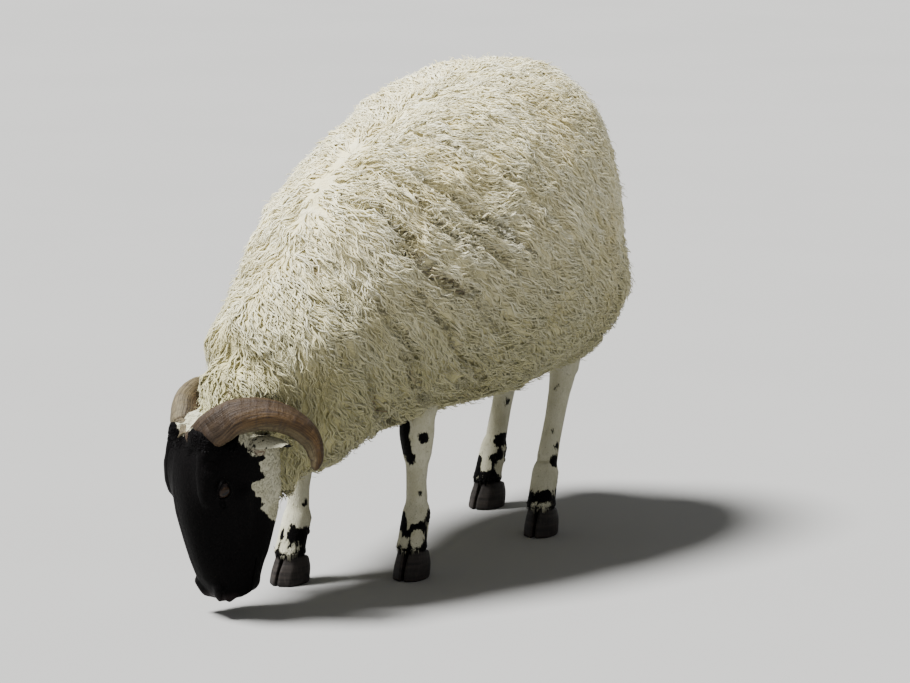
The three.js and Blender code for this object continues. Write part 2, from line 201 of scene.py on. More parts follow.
# ---------------------------------------------------------------- fields of distance
class Field:
    """Distances to a surface on a grid of small cubes: below zero inside it."""

    def __init__(self, low, high, cell):
        self.cell = cell
        self.first = np.floor(np.asarray(low) / cell).astype(int)
        self.shape = tuple(np.ceil(np.asarray(high) / cell).astype(int) - self.first + 1)
        self.values = None

    def like(self):
        """An empty field on the same grid."""
        low = self.first * self.cell
        other = Field(low, low, self.cell)
        other.shape = self.shape
        return other

    def axes(self):
        """The coordinates of the grid's points, ready to combine."""
        return [
            ((self.first[i] + np.arange(self.shape[i])) * self.cell)
            .astype(np.float32)
            .reshape([-1 if j == i else 1 for j in range(3)])
            for i in range(3)
        ]

    def distances(self, points, faces, band):
        """Distances to a closed mesh, up to a number of cells away."""
        shapes = {"quads" if faces.shape[1] == 4 else "triangles": faces.astype(np.uint32)}
        grid = openvdb.FloatGrid.createLevelSetFromPolygons(
            np.ascontiguousarray(points, np.float32),
            transform=openvdb.createLinearTransform(self.cell),
            halfWidth=band,
            **shapes,
        )
        values = np.empty(self.shape, np.float32)
        grid.copyToArray(values, ijk=tuple(int(i) for i in self.first))
        return values

    def surface(self, values, level=0.0):
        """The corners and quads where the values pass a level."""
        grid = openvdb.FloatGrid(float(values.max()))
        grid.transform = openvdb.createLinearTransform(self.cell)
        grid.copyFromArray(np.ascontiguousarray(values, np.float32), ijk=tuple(int(i) for i in self.first))
        points, quads = grid.convertToQuads(isovalue=level)
        return points, quads.astype(np.int32)[:, ::-1]

    def join_nodes(self, names, band, cut, place=None):
        """Distances to several solids as one body, with the thin cuts between them closed."""
        each = {}
        for name in names:
            points, faces = arrays_of(NODES[name])
            if place is not None:
                points = place.inward(points)
            each[name] = self.distances(points, faces, band)
        nearest = np.minimum.reduce(list(each.values()))
        self.values = self.distances(*self.surface(nearest, cut), band) + cut
        return each

    def soften(self, steps=(1,)):
        """Rounds off edges and facets."""
        for step in steps:
            for axis in range(3):
                near = np.roll(self.values, step, axis) + np.roll(self.values, -step, axis)
                self.values = 0.5 * self.values + 0.25 * near

    def at(self, points, values=None):
        """Values between the grid's points."""
        values = self.values if values is None else values
        q = np.asarray(points) / self.cell - self.first
        q = np.clip(q, 0, np.array(self.shape) - 1.001)
        i = q.astype(int)
        f = q - i
        total = 0
        for dx in (0, 1):
            for dy in (0, 1):
                for dz in (0, 1):
                    weight = (
                        (f[:, 0] if dx else 1 - f[:, 0])
                        * (f[:, 1] if dy else 1 - f[:, 1])
                        * (f[:, 2] if dz else 1 - f[:, 2])
                    )
                    total = total + weight * values[i[:, 0] + dx, i[:, 1] + dy, i[:, 2] + dz]
        return total

    def normals(self, points):
        """The outward direction at points."""
        steps = np.eye(3) * self.cell
        return unit(np.stack([self.at(points + s) - self.at(points - s) for s in steps], axis=1))

    def as_piece(self, name, place=None):
        points, quads = self.surface(self.values)
        if place is not None:
            points = place.outward(points)
        return piece_from(name, points, quads)


def ball(axes, centre, radius):
    return np.sqrt(sum((a - c) ** 2 for a, c in zip(axes, centre))) - radius


def rod(axes, start, end, start_radius, end_radius):
    """A straight rod with round ends that may taper."""
    start, end = np.asarray(start, float), np.asarray(end, float)
    along = end - start
    t = sum((a - s) * d for a, s, d in zip(axes, start, along)) / (along @ along)
    t = np.clip(t, 0, 1)
    gap = sum((a - (s + t * d)) ** 2 for a, s, d in zip(axes, start, along))
    return np.sqrt(gap) - (start_radius + t * (end_radius - start_radius))


def bent_rod(axes, points):
    """Rods through points (x, y, z, radius)."""
    made = None
    for a, b in zip(points[:-1], points[1:]):
        part = rod(axes, a[:3], b[:3], a[3], b[3])
        made = part if made is None else np.minimum(made, part)
    return made


def add(one, other, blend):
    """Joins two bodies with a soft fillet."""
    near = np.maximum(blend - np.abs(one - other), 0) / blend
    return np.minimum(one, other) - near * near * blend / 4


def cut(one, other, blend):
    """Takes the other body away from the first, with soft edges."""
    return -add(-one, other, blend)


# ---------------------------------------------------------------- the skin under the coat
CROWN_IN_HEAD = np.array((0.004, 0.012, -0.098))
CROWN_RADIUS = 0.074
HAIR_DEPTH = 0.0008
# For each part: depth of the coat, how far a lock lies over it, its width, how far it waves to each side
# and the length of one wave.
COAT = {
    "trunk": (0.034, 0.045, 0.0031, 0.0036, 0.024),
    "neck": (0.028, 0.052, 0.0032, 0.0038, 0.027),
    "crown": (0.018, 0.024, 0.0029, 0.0032, 0.013),
    "tail": (0.013, 0.050, 0.0032, 0.0034, 0.026),
    "left_thigh": (0.022, 0.040, 0.0031, 0.0034, 0.022),
    "right_thigh": (0.022, 0.040, 0.0031, 0.0034, 0.022),
    "head": (0.004, 0.018, 0.0030, 0.0012, 0.020),
    "lower_jaw": (0.004, 0.018, 0.0030, 0.0012, 0.020),
}
DEPTH, REACH, WIDTH, WAVE, CRIMP = range(5)


def blended(nearness, column):
    """A column of the coat table, mixed by how near each part is."""
    weights = {name: np.exp(-np.clip(gap, -0.05, 0.06) / 0.011) for name, gap in nearness.items()}
    total = sum(weights.values())
    return sum(weight * COAT[name][column] for name, weight in weights.items()) / total


def body_fields():
    """The outline of the coat of the whole body, its parts, and the skin inside it."""
    margin = np.full(3, 0.03)
    outline = Field(np.array(SOLIDS_BOX[0]) - margin, np.array(SOLIDS_BOX[1]) + margin, 0.005)
    parts = outline.join_nodes([name for name in COAT if name != "crown"], band=14, cut=0.002)
    for thigh in ("left_thigh", "right_thigh"):
        rest = np.minimum.reduce([values for name, values in parts.items() if name != thigh])
        outline.values = np.minimum(outline.values, add(rest, parts[thigh], 0.045))
    parts["crown"] = ball(outline.axes(), HEAD.outward(CROWN_IN_HEAD), CROWN_RADIUS).astype(np.float32)
    inside = outline.like()
    inside.values = outline.values + blended(parts, DEPTH)
    inside.soften((1, 2))
    return outline, parts, inside


def leg_skin(leg):
    """The skin of a shank and foot, with the tendons and joints, and a stump that runs up into the body."""
    place = FEET[leg]
    fore = "fore" in leg
    side = 1 if leg.startswith("left") else -1
    names = (leg, f"{leg}_pastern")
    low = place.inward([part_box(n)[0] for n in names]).min(0) - 0.03
    high = place.inward([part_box(n)[1] for n in names]).max(0) + 0.03
    high[2] += 0.20
    field = Field(np.minimum(low, (-0.08, -0.07, 0)), np.maximum(high, (0.08, 0.16, 0.4)), 0.002)
    field.join_nodes(names, band=12, cut=0.0007, place=place)
    field.soften((1, 2))
    axes = field.axes()
    values = field.values + HAIR_DEPTH
    top_points = place.inward(arrays_of(NODES[leg])[0])
    top = top_points[top_points[:, 2] > top_points[:, 2].max() - 0.03].mean(0)
    thigh = "left_thigh" if side > 0 else "right_thigh"
    above = centre_of("trunk") * (0, 1, 1) + (side * SHOULDER_OUT, 0, 0) if fore else centre_of(thigh)
    above = place.inward([above])[0]
    above = top + (above - top) * min(1.0, STUMP_LENGTH / np.linalg.norm(above - top))
    stump = [(top[0], top[1], top[2] - 0.05, 0.020), (top[0], top[1], top[2] + 0.01, 0.027), (*above, 0.034)]
    values = add(values, bent_rod(axes, stump), 0.012)
    shin = top_points[np.abs(top_points[:, 2] - 0.17) < 0.03].mean(0)
    joint = 0.228 if fore else 0.280
    for s in (1, -1):
        groove = [(s * 0.0215, shin[1] + 0.004, joint - 0.045, 0.004),
                  (s * 0.0205, shin[1] * 0.8 + 0.006, 0.125, 0.004)]
        values = cut(values, bent_rod(axes, groove), 0.006)
    knuckle = top_points[np.abs(top_points[:, 2] - joint) < 0.02]
    if fore:
        values = add(values, ball(axes, (0, knuckle[:, 1].max() - 0.006, joint + 0.008), 0.009), 0.012)
    else:
        heel = knuckle[:, 1].max()
        hock = rod(axes, (0, heel - 0.014, joint + 0.02), (0, heel - 0.004, joint - 0.002), 0.011, 0.010)
        values = add(values, hock, 0.014)
    values = cut(values, bent_rod(axes, [(0, -0.050, 0.034, 0.006), (0, -0.030, 0.066, 0.003)]), 0.008)
    field.values = values
    return field.as_piece(f"{leg}_skin", place)


# ---------------------------------------------------------------- the head
EAR_NODES = ("ear_left", "ear_right")
GAZE = {1: unit(np.array((0.93, -0.30, 0.10))), -1: unit(np.array((-0.93, -0.30, 0.10)))}


def eye_axes(side):
    """Along the eye's opening from back to front corner, across it to the upper lid, and outward."""
    out = GAZE[side]
    along = unit(np.cross(np.array((0, 0.12, 1.0)), out) * -side)
    along = along if along[1] < 0 else -along
    up = np.cross(out, along)
    up = up if up[2] > 0 else -up
    return along, up, out


def mouth_height(y):
    """How high the line of the lips runs, from the lips back to the corner of the mouth."""
    return -0.0885 - 0.004 * smooth_step(y, -0.262, -0.215) + 0.002 * smooth_step(-y, 0.268, 0.292)


def shape_eye(values, axes, side):
    """A socket with an upper and a lower lid around the eyeball."""
    centre = EYE_IN_HEAD * (side, 1, 1)
    along, up, out = eye_axes(side)
    near = [a - c for a, c in zip(axes, centre)]
    a = sum(n * d for n, d in zip(near, along))
    b = sum(n * d for n, d in zip(near, up))
    c = sum(n * d for n, d in zip(near, out))
    reach = np.sqrt(a * a + b * b + c * c)
    lids = reach - (EYE_RADIUS + 0.0022)
    values = add(values, lids, 0.007)
    upper = 0.0100 * (1 - np.clip(np.abs(a + 0.001) / 0.0150, 0, 1) ** 2.4) ** 0.9
    lower = 0.0080 * (1 - np.clip(np.abs(a - 0.001) / 0.0150, 0, 1) ** 2.0) ** 0.9
    opening = np.where(b > 0, b - upper, -b - lower)
    opening = np.maximum(opening, 0.002 - c)
    for height, bend, deep in ((0.0150, 0.004, 0.0012), (0.0190, 0.006, 0.0009)):
        fold = np.abs(b - height + bend * (a / 0.014) ** 2 * 1.6)
        line = smooth_step(0.002 - fold, 0, 0.002) * smooth_step(0.017 - np.abs(a), 0, 0.006) * (c > 0)
        values = values + line * deep
    under = np.abs(-b - 0.0145 + 0.004 * (a / 0.014) ** 2 * 1.4)
    line = smooth_step(0.0022 - under, 0, 0.0022) * smooth_step(0.015 - np.abs(a), 0, 0.006) * (c > 0)
    values = values + line * 0.0008
    values = np.maximum(values, -(reach - (EYE_RADIUS + 0.0002)))
    values = cut(values, opening, 0.0016)
    tear = [tuple(centre + along * 0.0150 + out * 0.0080 - up * 0.001) + (0.0018,),
            tuple(centre + along * 0.022 + out * 0.0065 - up * 0.006) + (0.0024,),
            tuple(centre + along * 0.036 + out * 0.0035 - up * 0.014) + (0.0014,)]
    return cut(values, bent_rod(axes, tear), 0.005)


def shape_muzzle(values, axes):
    """Nostrils, the cleft of the upper lip, the line of the mouth and the lips."""
    _, y, z = axes
    for s in (1, -1):
        rim = [(s * 0.013, -0.286, -0.060, 0.0075), (s * 0.021, -0.281, -0.047, 0.008),
               (s * 0.027, -0.266, -0.036, 0.0075)]
        values = add(values, bent_rod(axes, rim), 0.010)
        slit = [(s * 0.0075, -0.2965, -0.064, 0.0028), (s * 0.016, -0.2935, -0.054, 0.0040),
                (s * 0.0245, -0.2865, -0.0445, 0.0034), (s * 0.0315, -0.272, -0.0385, 0.0020)]
        values = cut(values, bent_rod(axes, slit), 0.003)
        crease = [(s * 0.036, -0.262, -0.040, 0.0022), (s * 0.0425, -0.246, -0.058, 0.0016)]
        values = cut(values, bent_rod(axes, crease), 0.005)
    cleft = [(0, -0.2985, -0.058, 0.0022), (0, -0.2985, -0.074, 0.0018), (0, -0.2955, -0.089, 0.0022)]
    values = cut(values, bent_rod(axes, cleft), 0.004)
    line = mouth_height(y)
    front = smooth_step(-y, 0.212, 0.226)
    lips = np.exp(-(((z - line) / 0.008) ** 2)) * front
    values = values - 0.0016 * lips
    gap = np.maximum(np.abs(z - line) - 0.0009 * front, -(values + 0.007))
    gap = np.maximum(gap, y + 0.214)
    return cut(values, gap, 0.0016)


def head_skin():
    """The head, jaw and ears as one body in fine detail."""
    field = Field((-0.165, -0.325, -0.20), (0.165, 0.05, 0.06), 0.0015)
    field.join_nodes(("head", "lower_jaw"), band=12, cut=0.0006, place=HEAD)
    field.soften((1, 2, 3))
    axes = field.axes()
    values = field.values + HAIR_DEPTH
    for s in (1, -1):
        hollow = ball(axes, (s * 0.070, -0.062, 0.004), 0.012)
        values = cut(values, hollow, 0.018)
        bone = [(s * 0.0560, -0.120, -0.050, 0.008), (s * 0.0470, -0.176, -0.062, 0.006)]
        values = add(values, bent_rod(axes, bone), 0.024)
        dent = ball(axes, (s * 0.064, -0.205, -0.040), 0.016)
        values = cut(values, dent, 0.020)
        values = shape_eye(values, axes, s)
        collar = rod(axes, (s * 0.008, -0.048, -0.009), (s * 0.026, -0.030, -0.007), 0.0225, 0.0265)
        values = add(values, collar, 0.010)
    values = shape_muzzle(values, axes)
    ears = field.like()
    ears.join_nodes(EAR_NODES, band=12, cut=0.0005, place=HEAD)
    ears.soften((1,))
    for s in (1, -1):
        root = rod(axes, (s * 0.050, -0.044, -0.072), (s * 0.072, -0.047, -0.074), 0.013, 0.009)
        values = add(values, root, 0.010)
    field.values = add(values, ears.values + 0.0002, 0.006)
    return field.as_piece("head_skin", HEAD)


def thin_out(obj, triangles):
    """Keeps about so many triangles, most where the shape bends most."""
    applied(obj, "TRIANGULATE")
    share = min(1.0, triangles / len(obj.data.polygons))
    return applied(obj, "DECIMATE", ratio=share) if share < 1 else obj


def closed_together(base, others):
    """Joins closed bodies into one closed surface."""
    for other in others:
        before = len(base.data.polygons)
        copy = base.data.copy()
        applied(base, "BOOLEAN", operation="UNION", solver="MANIFOLD", object=other)
        if len(base.data.polygons) < before / 2:
            base.data = copy
            applied(base, "BOOLEAN", operation="UNION", solver="EXACT", object=other)
        bpy.data.objects.remove(other)
    return base


outline, coat_parts, inside = body_fields()
skin = thin_out(inside.as_piece("skin"), SKIN_TRIANGLES)
head_piece = thin_out(head_skin(), HEAD_TRIANGLES)
leg_pieces = [thin_out(leg_skin(leg), LEG_TRIANGLES) for leg in LEGS]
closed_together(skin, [head_piece, *leg_pieces])


# ---------------------------------------------------------------- the fleece
RINGS = np.array((0, 0.17, 0.32, 0.46, 0.60, 0.74, 0.88, 1.0))
PROFILE = np.array((0.8, 1.0, 1.0, 0.95, 0.85, 0.70, 0.48))
REGIONS = (("crown", -0.375), ("neck", -0.235), ("shoulder", -0.10), ("ribs", 0.06), ("flank", 0.21),
           ("loin", 0.36), ("rump", 9.0))


def nearness_at(points):
    return {name: outline.at(points, values) for name, values in coat_parts.items()}


def scatter(points, faces, count, weight=None):
    """Random places on a mesh, as many for each area as its weight says."""
    corners = points[faces].astype(float)
    cross = np.cross(corners[:, 1] - corners[:, 0], corners[:, 2] - corners[:, 0])
    area = np.linalg.norm(cross, axis=1)
    if weight is not None:
        area = area * weight(corners.mean(1))
    chosen = random.choice(len(faces), count, p=area / area.sum())
    a, b = np.sqrt(random.uniform(size=count)), random.uniform(size=count)
    share = np.stack((1 - a, a * (1 - b), a * b), axis=1)
    return (corners[chosen] * share[:, :, None]).sum(1)


swirl = Waves(0.17, 5)
swirl_fine = Waves(0.055, 6)


def lie_of_wool(points, normals):
    """The way the wool lies: out from the spine, to the rear and down."""
    y = points[:, 1]
    spine = -0.03 * smooth_step(-y, 0.15, 0.40) + 0.018 * swirl_fine(points * 0.6)
    out = np.tanh((points[:, 0] - spine) / 0.05)
    rear = 1.0 - 0.45 * smooth_step(-y, 0.05, 0.25) - 0.9 * smooth_step(-y, 0.30, 0.40)
    rear = rear - 0.8 * smooth_step(y, 0.36, 0.5)
    flow = np.stack((0.65 * out, rear, np.full(len(y), -1.0)), axis=1)
    turn = 0.30 * swirl(points) + 0.26 * swirl_fine(points)
    flow = unit(flow - normals * (flow * normals).sum(1, keepdims=True))
    side = np.cross(normals, flow)
    return flow * np.cos(turn)[:, None] + side * np.sin(turn)[:, None]


def follow(roots, reach, level_of, steps=RINGS):
    """Paths along the lie of the wool, at the levels given for each step."""
    path = [roots]
    here = roots
    for k in range(1, len(steps)):
        normals = outline.normals(here)
        flow = lie_of_wool(here, normals)
        here = here + flow * (reach * (steps[k] - steps[k - 1]))[:, None]
        gap = level_of(here, k) - outline.at(here)
        here = here + outline.normals(here) * np.clip(gap, -0.02, 0.02)[:, None]
        path.append(here)
    return np.stack(path, axis=1)


def crease_lines(points, faces):
    """Lines along the lie of the wool where the fleece parts, most on the neck and shoulders."""
    def liking(p):
        y = p[:, 1]
        return 0.08 + 1.0 * smooth_step(-y, 0.02, 0.16) * (1 - smooth_step(-y, 0.33, 0.37))
    starts = scatter(points, faces, 400, liking)
    kept = []
    for start in starts:
        if all(np.linalg.norm(start - other) > 0.058 for other in kept):
            kept.append(start)
    kept = np.array(kept)[:46]
    steps = np.linspace(0, 1, 26)
    reach = random.uniform(0.14, 0.32, len(kept))
    lines = follow(kept, reach, lambda p, k: np.full(len(p), -0.006), steps)
    depth = np.sin(np.pi * steps) ** 0.6 * random.uniform(0.7, 1.0, (len(kept), 1))
    depth = depth * (0.30 + 0.70 * smooth_step(-kept[:, 1], -0.02, 0.12))[:, None]
    return lines[:, 2:].reshape(-1, 3), depth[:, 2:].ravel()


def tree_of(points):
    tree = KDTree(len(points))
    for i, point in enumerate(points):
        tree.insert(point, i)
    tree.balance()
    return tree


def nearest(tree, points):
    """The index of the nearest stored point to each point, and how far it is."""
    found = [tree.find(p) for p in points]
    return np.array([f[1] for f in found]), np.array([f[2] for f in found])


crease_points, crease_depths = crease_lines(*arrays_of(skin))
crease_tree = tree_of(crease_points)


def crease(points):
    """How far into a parting each point is, from 0 to 1."""
    index, gap = nearest(crease_tree, points)
    return crease_depths[index] * np.exp(-((gap / 0.0080) ** 2))


relief_wide = Waves(0.085, 11)
relief_fine = Waves(0.032, 12)


def surface_level(points):
    """How far above or below the outline the surface of the fleece lies."""
    y = points[:, 1]
    rough = 1.0 - 0.50 * smooth_step(y, 0.05, 0.25)
    relief = 0.0050 * relief_wide(points) + 0.0026 * relief_fine(points)
    return -0.0030 + rough * relief - PARTING_DEPTH * crease(points)


def wool_depth(points):
    return blended(nearness_at(points), DEPTH)


def underwool():
    """The dense wool that the tips of the locks lie on."""
    field = outline.like()
    deep = blended(coat_parts, DEPTH)
    field.values = outline.values + 0.009
    field.values = np.where(deep < 0.011, inside.values + 0.004, field.values)
    field.soften((1, 2))
    piece = thin_out(field.as_piece("underwool"), UNDERWOOL_TRIANGLES)
    points = arrays_of(piece)[0].astype(float)
    weight = smooth_step(wool_depth(points), 0.011, 0.018)
    gap = surface_level(points) - 0.0052 - 0.005 * crease(points) - outline.at(points)
    points = points + outline.normals(points) * (np.clip(gap, -0.024, 0.004) * weight)[:, None]
    piece.data.vertices.foreach_set("co", points.astype(np.float32).ravel())
    piece.data.update()
    return piece


under = underwool()


def locks(count, spacing, seed):
    """Paths of locks in bundles that wave together, with their widths, tones and sunkness."""
    def woolly(p):
        from_spine = p[:, 0] + 0.03 * smooth_step(-p[:, 1], 0.15, 0.40)
        spine = np.exp(-((from_spine / 0.03) ** 2)) * (p[:, 2] > 0.45)
        return (wool_depth(p) > 0.0095) * (blended(nearness_at(p), REACH) ** -0.7) * (1 + 0.7 * spine)

    where = arrays_of(under)
    guides = scatter(*where, int(1.3 / spacing**2), woolly)
    roots = scatter(*where, count, woolly)
    draw = np.random.default_rng(seed)

    def paths(starts, reach, layer):
        starts = starts - outline.normals(starts) * 0.003
        first = outline.at(starts)

        def level(p, k):
            return (1 - rise(RINGS[k])) * first + rise(RINGS[k]) * (surface_level(p) - layer)
        return follow(starts, reach, level)

    guide_near = nearness_at(guides)
    guide_path = paths(guides, blended(guide_near, REACH) * draw.uniform(0.85, 1.15, len(guides)),
                       draw.uniform(0.0, 0.003, len(guides)))
    phase = draw.uniform(0, 2 * math.pi, len(guides))
    wave = blended(guide_near, WAVE) * draw.uniform(0.6, 1.35, len(guides))
    crimp = blended(guide_near, CRIMP) * draw.uniform(0.8, 1.3, len(guides))
    guide, gap = nearest(tree_of(guides), roots)

    near = nearness_at(roots)
    reach = blended(near, REACH) * draw.uniform(0.70, 1.20, len(roots))
    layer = draw.uniform(-0.0010, 0.0032, len(roots)) + 0.0010 * np.clip(gap / spacing, 0, 1) ** 2
    path = paths(roots, reach, layer)
    pull = (0.62 * smooth_step(RINGS, 0.05, 0.75))[None, :, None]
    spread = (roots - guides[guide])[:, None, :] * (1 - 0.42 * smooth_step(RINGS, 0.2, 1.0))[None, :, None]
    path = path * (1 - pull) + (guide_path[guide] + spread) * pull

    travel = RINGS[None, :] * reach[:, None]
    turn = (phase[guide] + draw.normal(0, 0.5, len(roots)))[:, None]
    turn = 2 * math.pi * travel / crimp[guide][:, None] + turn
    flat = path.reshape(-1, 3)
    normals = outline.normals(flat).reshape(path.shape)
    tangents = unit(np.gradient(path, axis=1))
    sides = unit(np.cross(normals, tangents))
    swing = (wave[guide] * draw.uniform(0.6, 1.25, len(roots)))[:, None] * smooth_step(RINGS, 0.05, 0.35)
    path = path + sides * (np.sin(turn) * swing)[:, :, None]
    path = path + normals * (np.cos(turn) * swing * 0.40)[:, :, None]
    curl = draw.uniform(-0.001, 0.002, len(roots)) + 0.0045 * (draw.uniform(size=len(roots)) > 0.75)
    curl = curl[:, None] * smooth_step(RINGS, 0.55, 1.0)
    path = path + normals * curl[:, :, None]
    width = blended(near, WIDTH) * draw.uniform(0.6, 1.2, len(roots))
    tone = 0.5 + 0.20 * draw.normal(size=len(guides))[guide] + 0.20 * draw.normal(size=len(roots))
    tone = np.clip(tone, 0, 1)
    flat = path.reshape(-1, 3)
    index, gap = nearest(crease_tree, flat)
    push = crease_depths[index] * 0.009 * np.exp(-((gap / 0.012) ** 2))
    push = push * np.tile(smooth_step(RINGS, 0.0, 0.3), len(path))
    path = (flat + unit(flat - crease_points[index]) * push[:, None]).reshape(path.shape)
    stray = draw.uniform(size=len(roots)) > 0.90
    width = np.where(stray, width * 0.45, width)
    lift = np.where(stray, draw.uniform(0.003, 0.008, len(roots)), 0)[:, None] * smooth_step(RINGS, 0.3, 1.0)
    path = path + normals * lift[:, :, None]
    sunk = crease(path[:, 3])
    return roots, path, normals, width, tone, sunk


def rise(t):
    return smooth_step(t, 0.0, 0.36)


def strands_mesh(name, path, normals, width, tone, sunk, patches):
    """Closed three-sided strands along the paths, each ending in a point."""
    count, rings = path.shape[:2]
    tangents = unit(np.gradient(path, axis=1))
    sides = unit(np.cross(normals, tangents))
    ups = np.cross(tangents, sides)
    half = width[:, None] * PROFILE / 2
    corners = []
    for across, above in ((1, -0.40), (0, 0.80), (-1, -0.40)):
        beside = sides[:, :-1] * (half * across)[:, :, None]
        corners.append(path[:, :-1] + beside + ups[:, :-1] * (half * above)[:, :, None])
    body = np.stack(corners, axis=2).reshape(count, -1, 3)
    points = np.concatenate((body, path[:, -1:]), axis=1)
    per = points.shape[1]
    faces = [(0, 2, 1)]
    for r in range(rings - 2):
        for j in range(3):
            a, b = 3 * r + j, 3 * r + (j + 1) % 3
            faces += [(a, b, b + 3), (a, b + 3, a + 3)]
    last = 3 * (rings - 2)
    faces += [(last + j, last + (j + 1) % 3, per - 1) for j in range(3)]
    faces = np.array(faces)[None] + (np.arange(count) * per)[:, None, None]
    obj = piece_from(name, points.reshape(-1, 3), faces.reshape(-1, 3))
    along = np.append(np.repeat(RINGS[:-1], 3), 1.0)
    around = np.append(np.tile((0.0, 0.33, 0.66), rings - 1), 0.33)
    attribute(obj, "along", np.tile(along, count))
    attribute(obj, "tone", np.repeat(tone, per))
    attribute(obj, "sunk", np.repeat(sunk, per))
    corner = patches[:, None, :] + 0.003 * (np.stack((around, along), axis=1)[None] - 0.5)
    uv_map(obj, "OFBake", corner.reshape(-1, 2))
    strand = (np.tile(around, (count, 1)) + tone[:, None] * 7, along[None] * width[:, None] * 12)
    strand = np.stack(strand, axis=2)
    uv_map(obj, "Strand", strand.reshape(-1, 2))
    return obj


def unrolled(points, part="body"):
    """Where points lie on the skin, unrolled round the long axis of the body, the head or a leg."""
    if part == "body":
        y = points[:, 1]
        axis_height = 0.45 - 0.16 * smooth_step(-y, 0.15, 0.45)
        axis_side = -0.03 * smooth_step(-y, 0.15, 0.45)
        angle = np.arctan2(points[:, 0] - axis_side, points[:, 2] - axis_height)
        low, high = SOLIDS_BOX[0][1], SOLIDS_BOX[1][1]
        along = (y - low) / (high - low)
        cell = (0.01, 0.01, 0.98, 0.58)
    elif part == "head":
        q = HEAD.inward(points)
        angle = np.arctan2(q[:, 0], q[:, 2] + 0.06)
        along = (q[:, 1] + 0.33) / 0.40
        cell = (0.01, 0.62, 0.48, 0.37)
    else:
        q = FEET[part].inward(points)
        angle = np.arctan2(q[:, 0], q[:, 1] - 0.015)
        along = q[:, 2] / 0.42
        cell = (0.51 + 0.12 * LEGS.index(part), 0.62, 0.11, 0.37)
    around = angle / (2 * math.pi) + 0.5
    left, bottom, wide, high = cell
    return np.stack((left + wide * around, bottom + high * np.clip(along, 0, 1)), axis=1)


def unrolled_map(obj):
    """The unrolled skin as a map on a closed piece, cut where it comes full circle."""
    corners = np.empty(len(obj.data.loops), np.int32)
    obj.data.loops.foreach_get("vertex_index", corners)
    flat = unrolled(arrays_of(obj)[0].astype(float))[corners].reshape(-1, 3, 2)
    turn = flat[:, :, 0] - flat[:, :1, 0]
    flat[:, :, 0] = np.where(turn > 0.5, 0.01, np.where(turn < -0.5, 0.99, flat[:, :, 0]))
    layer = obj.data.uv_layers.new(name="OFBake")
    layer.data.foreach_set("uv", flat.astype(np.float32).ravel())


made_locks = locks(STRANDS, STRAND_SPACING, 21)
fleece_pieces = []
roots = made_locks[0]
band = np.searchsorted([limit for _, limit in REGIONS], roots[:, 1])
for number, (region, _) in enumerate(REGIONS):
    for side, word in ((1, "left"), (-1, "right")):
        chosen = (band == number) & (np.where(roots[:, 0] >= 0, 1, -1) == side)
        if chosen.sum() == 0:
            continue
        parts = [values[chosen] for values in made_locks]
        fleece_pieces.append(strands_mesh(f"fleece_{region}_{word}", *parts[1:], unrolled(parts[0])))


# ---------------------------------------------------------------- black and white
# Where the black of the face ends: distance from the poll, and height in the head's frame.
BLACK_EDGE = np.array((
    (-0.20, -0.180), (-0.182, -0.150), (-0.168, -0.122), (-0.155, -0.104), (-0.143, -0.090),
    (-0.136, -0.095), (-0.128, -0.092), (-0.119, -0.076), (-0.106, -0.065), (-0.099, -0.068),
    (-0.095, -0.088), (-0.084, -0.086), (-0.075, -0.076), (-0.069, -0.078), (-0.066, -0.094),
    (-0.058, -0.088), (-0.050, -0.060), (-0.03, -0.050)))
# Spots in each foot's frame: place and radius, black first and then white on the black.
SPOTS = {
    "left_foreleg": [
        (-0.017, -0.014, 0.240, 0.019), (-0.014, -0.020, 0.214, 0.018), (-0.004, -0.022, 0.192, 0.014),
        (0.004, -0.020, 0.262, 0.007), (0.022, -0.010, 0.226, 0.009), (0.016, -0.010, 0.134, 0.0085),
        (0.024, 0.006, 0.140, 0.007), (0.004, 0.034, 0.152, 0.007), (-0.020, 0.02, 0.110, 0.008)],
    "right_foreleg": [
        (0.006, -0.008, 0.236, 0.015), (-0.020, 0.012, 0.205, 0.010), (0.004, 0.036, 0.150, 0.008),
        (0.018, 0.010, 0.128, 0.006)],
    "left_hindleg": [
        (0.004, 0.036, 0.244, 0.0125), (0.017, 0.022, 0.146, 0.0050), (0.022, 0.040, 0.150, 0.0045),
        (0.008, 0.020, 0.170, 0.0040), (-0.018, 0.09, 0.260, 0.010), (0.018, 0.012, 0.122, 0.009)],
    "right_hindleg": [
        (0.010, 0.004, 0.206, 0.013), (0.022, 0.024, 0.180, 0.0095), (0.026, 0.040, 0.172, 0.0085),
        (0.024, 0.052, 0.122, 0.016), (0.014, 0.016, 0.112, 0.013), (0.02, 0.07, 0.235, 0.010),
        (-0.016, 0.016, 0.150, 0.009)],
}
PALE_SPOTS = {
    "left_foreleg": [
        (-0.020, -0.026, 0.066, 0.011), (-0.004, -0.034, 0.062, 0.009), (0.016, -0.022, 0.068, 0.011),
        (0.026, 0.0, 0.112, 0.006)],
    "right_foreleg": [
        (0.003, -0.030, 0.090, 0.009), (0.003, -0.034, 0.064, 0.010), (-0.018, -0.010, 0.060, 0.010)],
    "left_hindleg": [
        (0.004, -0.020, 0.098, 0.012), (0.018, 0.002, 0.092, 0.012), (-0.016, -0.004, 0.084, 0.011)],
    "right_hindleg": [
        (0.006, -0.010, 0.074, 0.011), (0.020, 0.006, 0.070, 0.011), (0.018, 0.012, 0.100, 0.005)],
}
BLOTCH_TOP = {"left_foreleg": 0.124, "right_foreleg": 0.108, "left_hindleg": 0.104, "right_hindleg": 0.116}
blotches = {leg: Waves(0.034, 31 + i) for i, leg in enumerate(LEGS)}
edge_waves = Waves(0.020, 41)
ear_waves = Waves(0.020, 42)


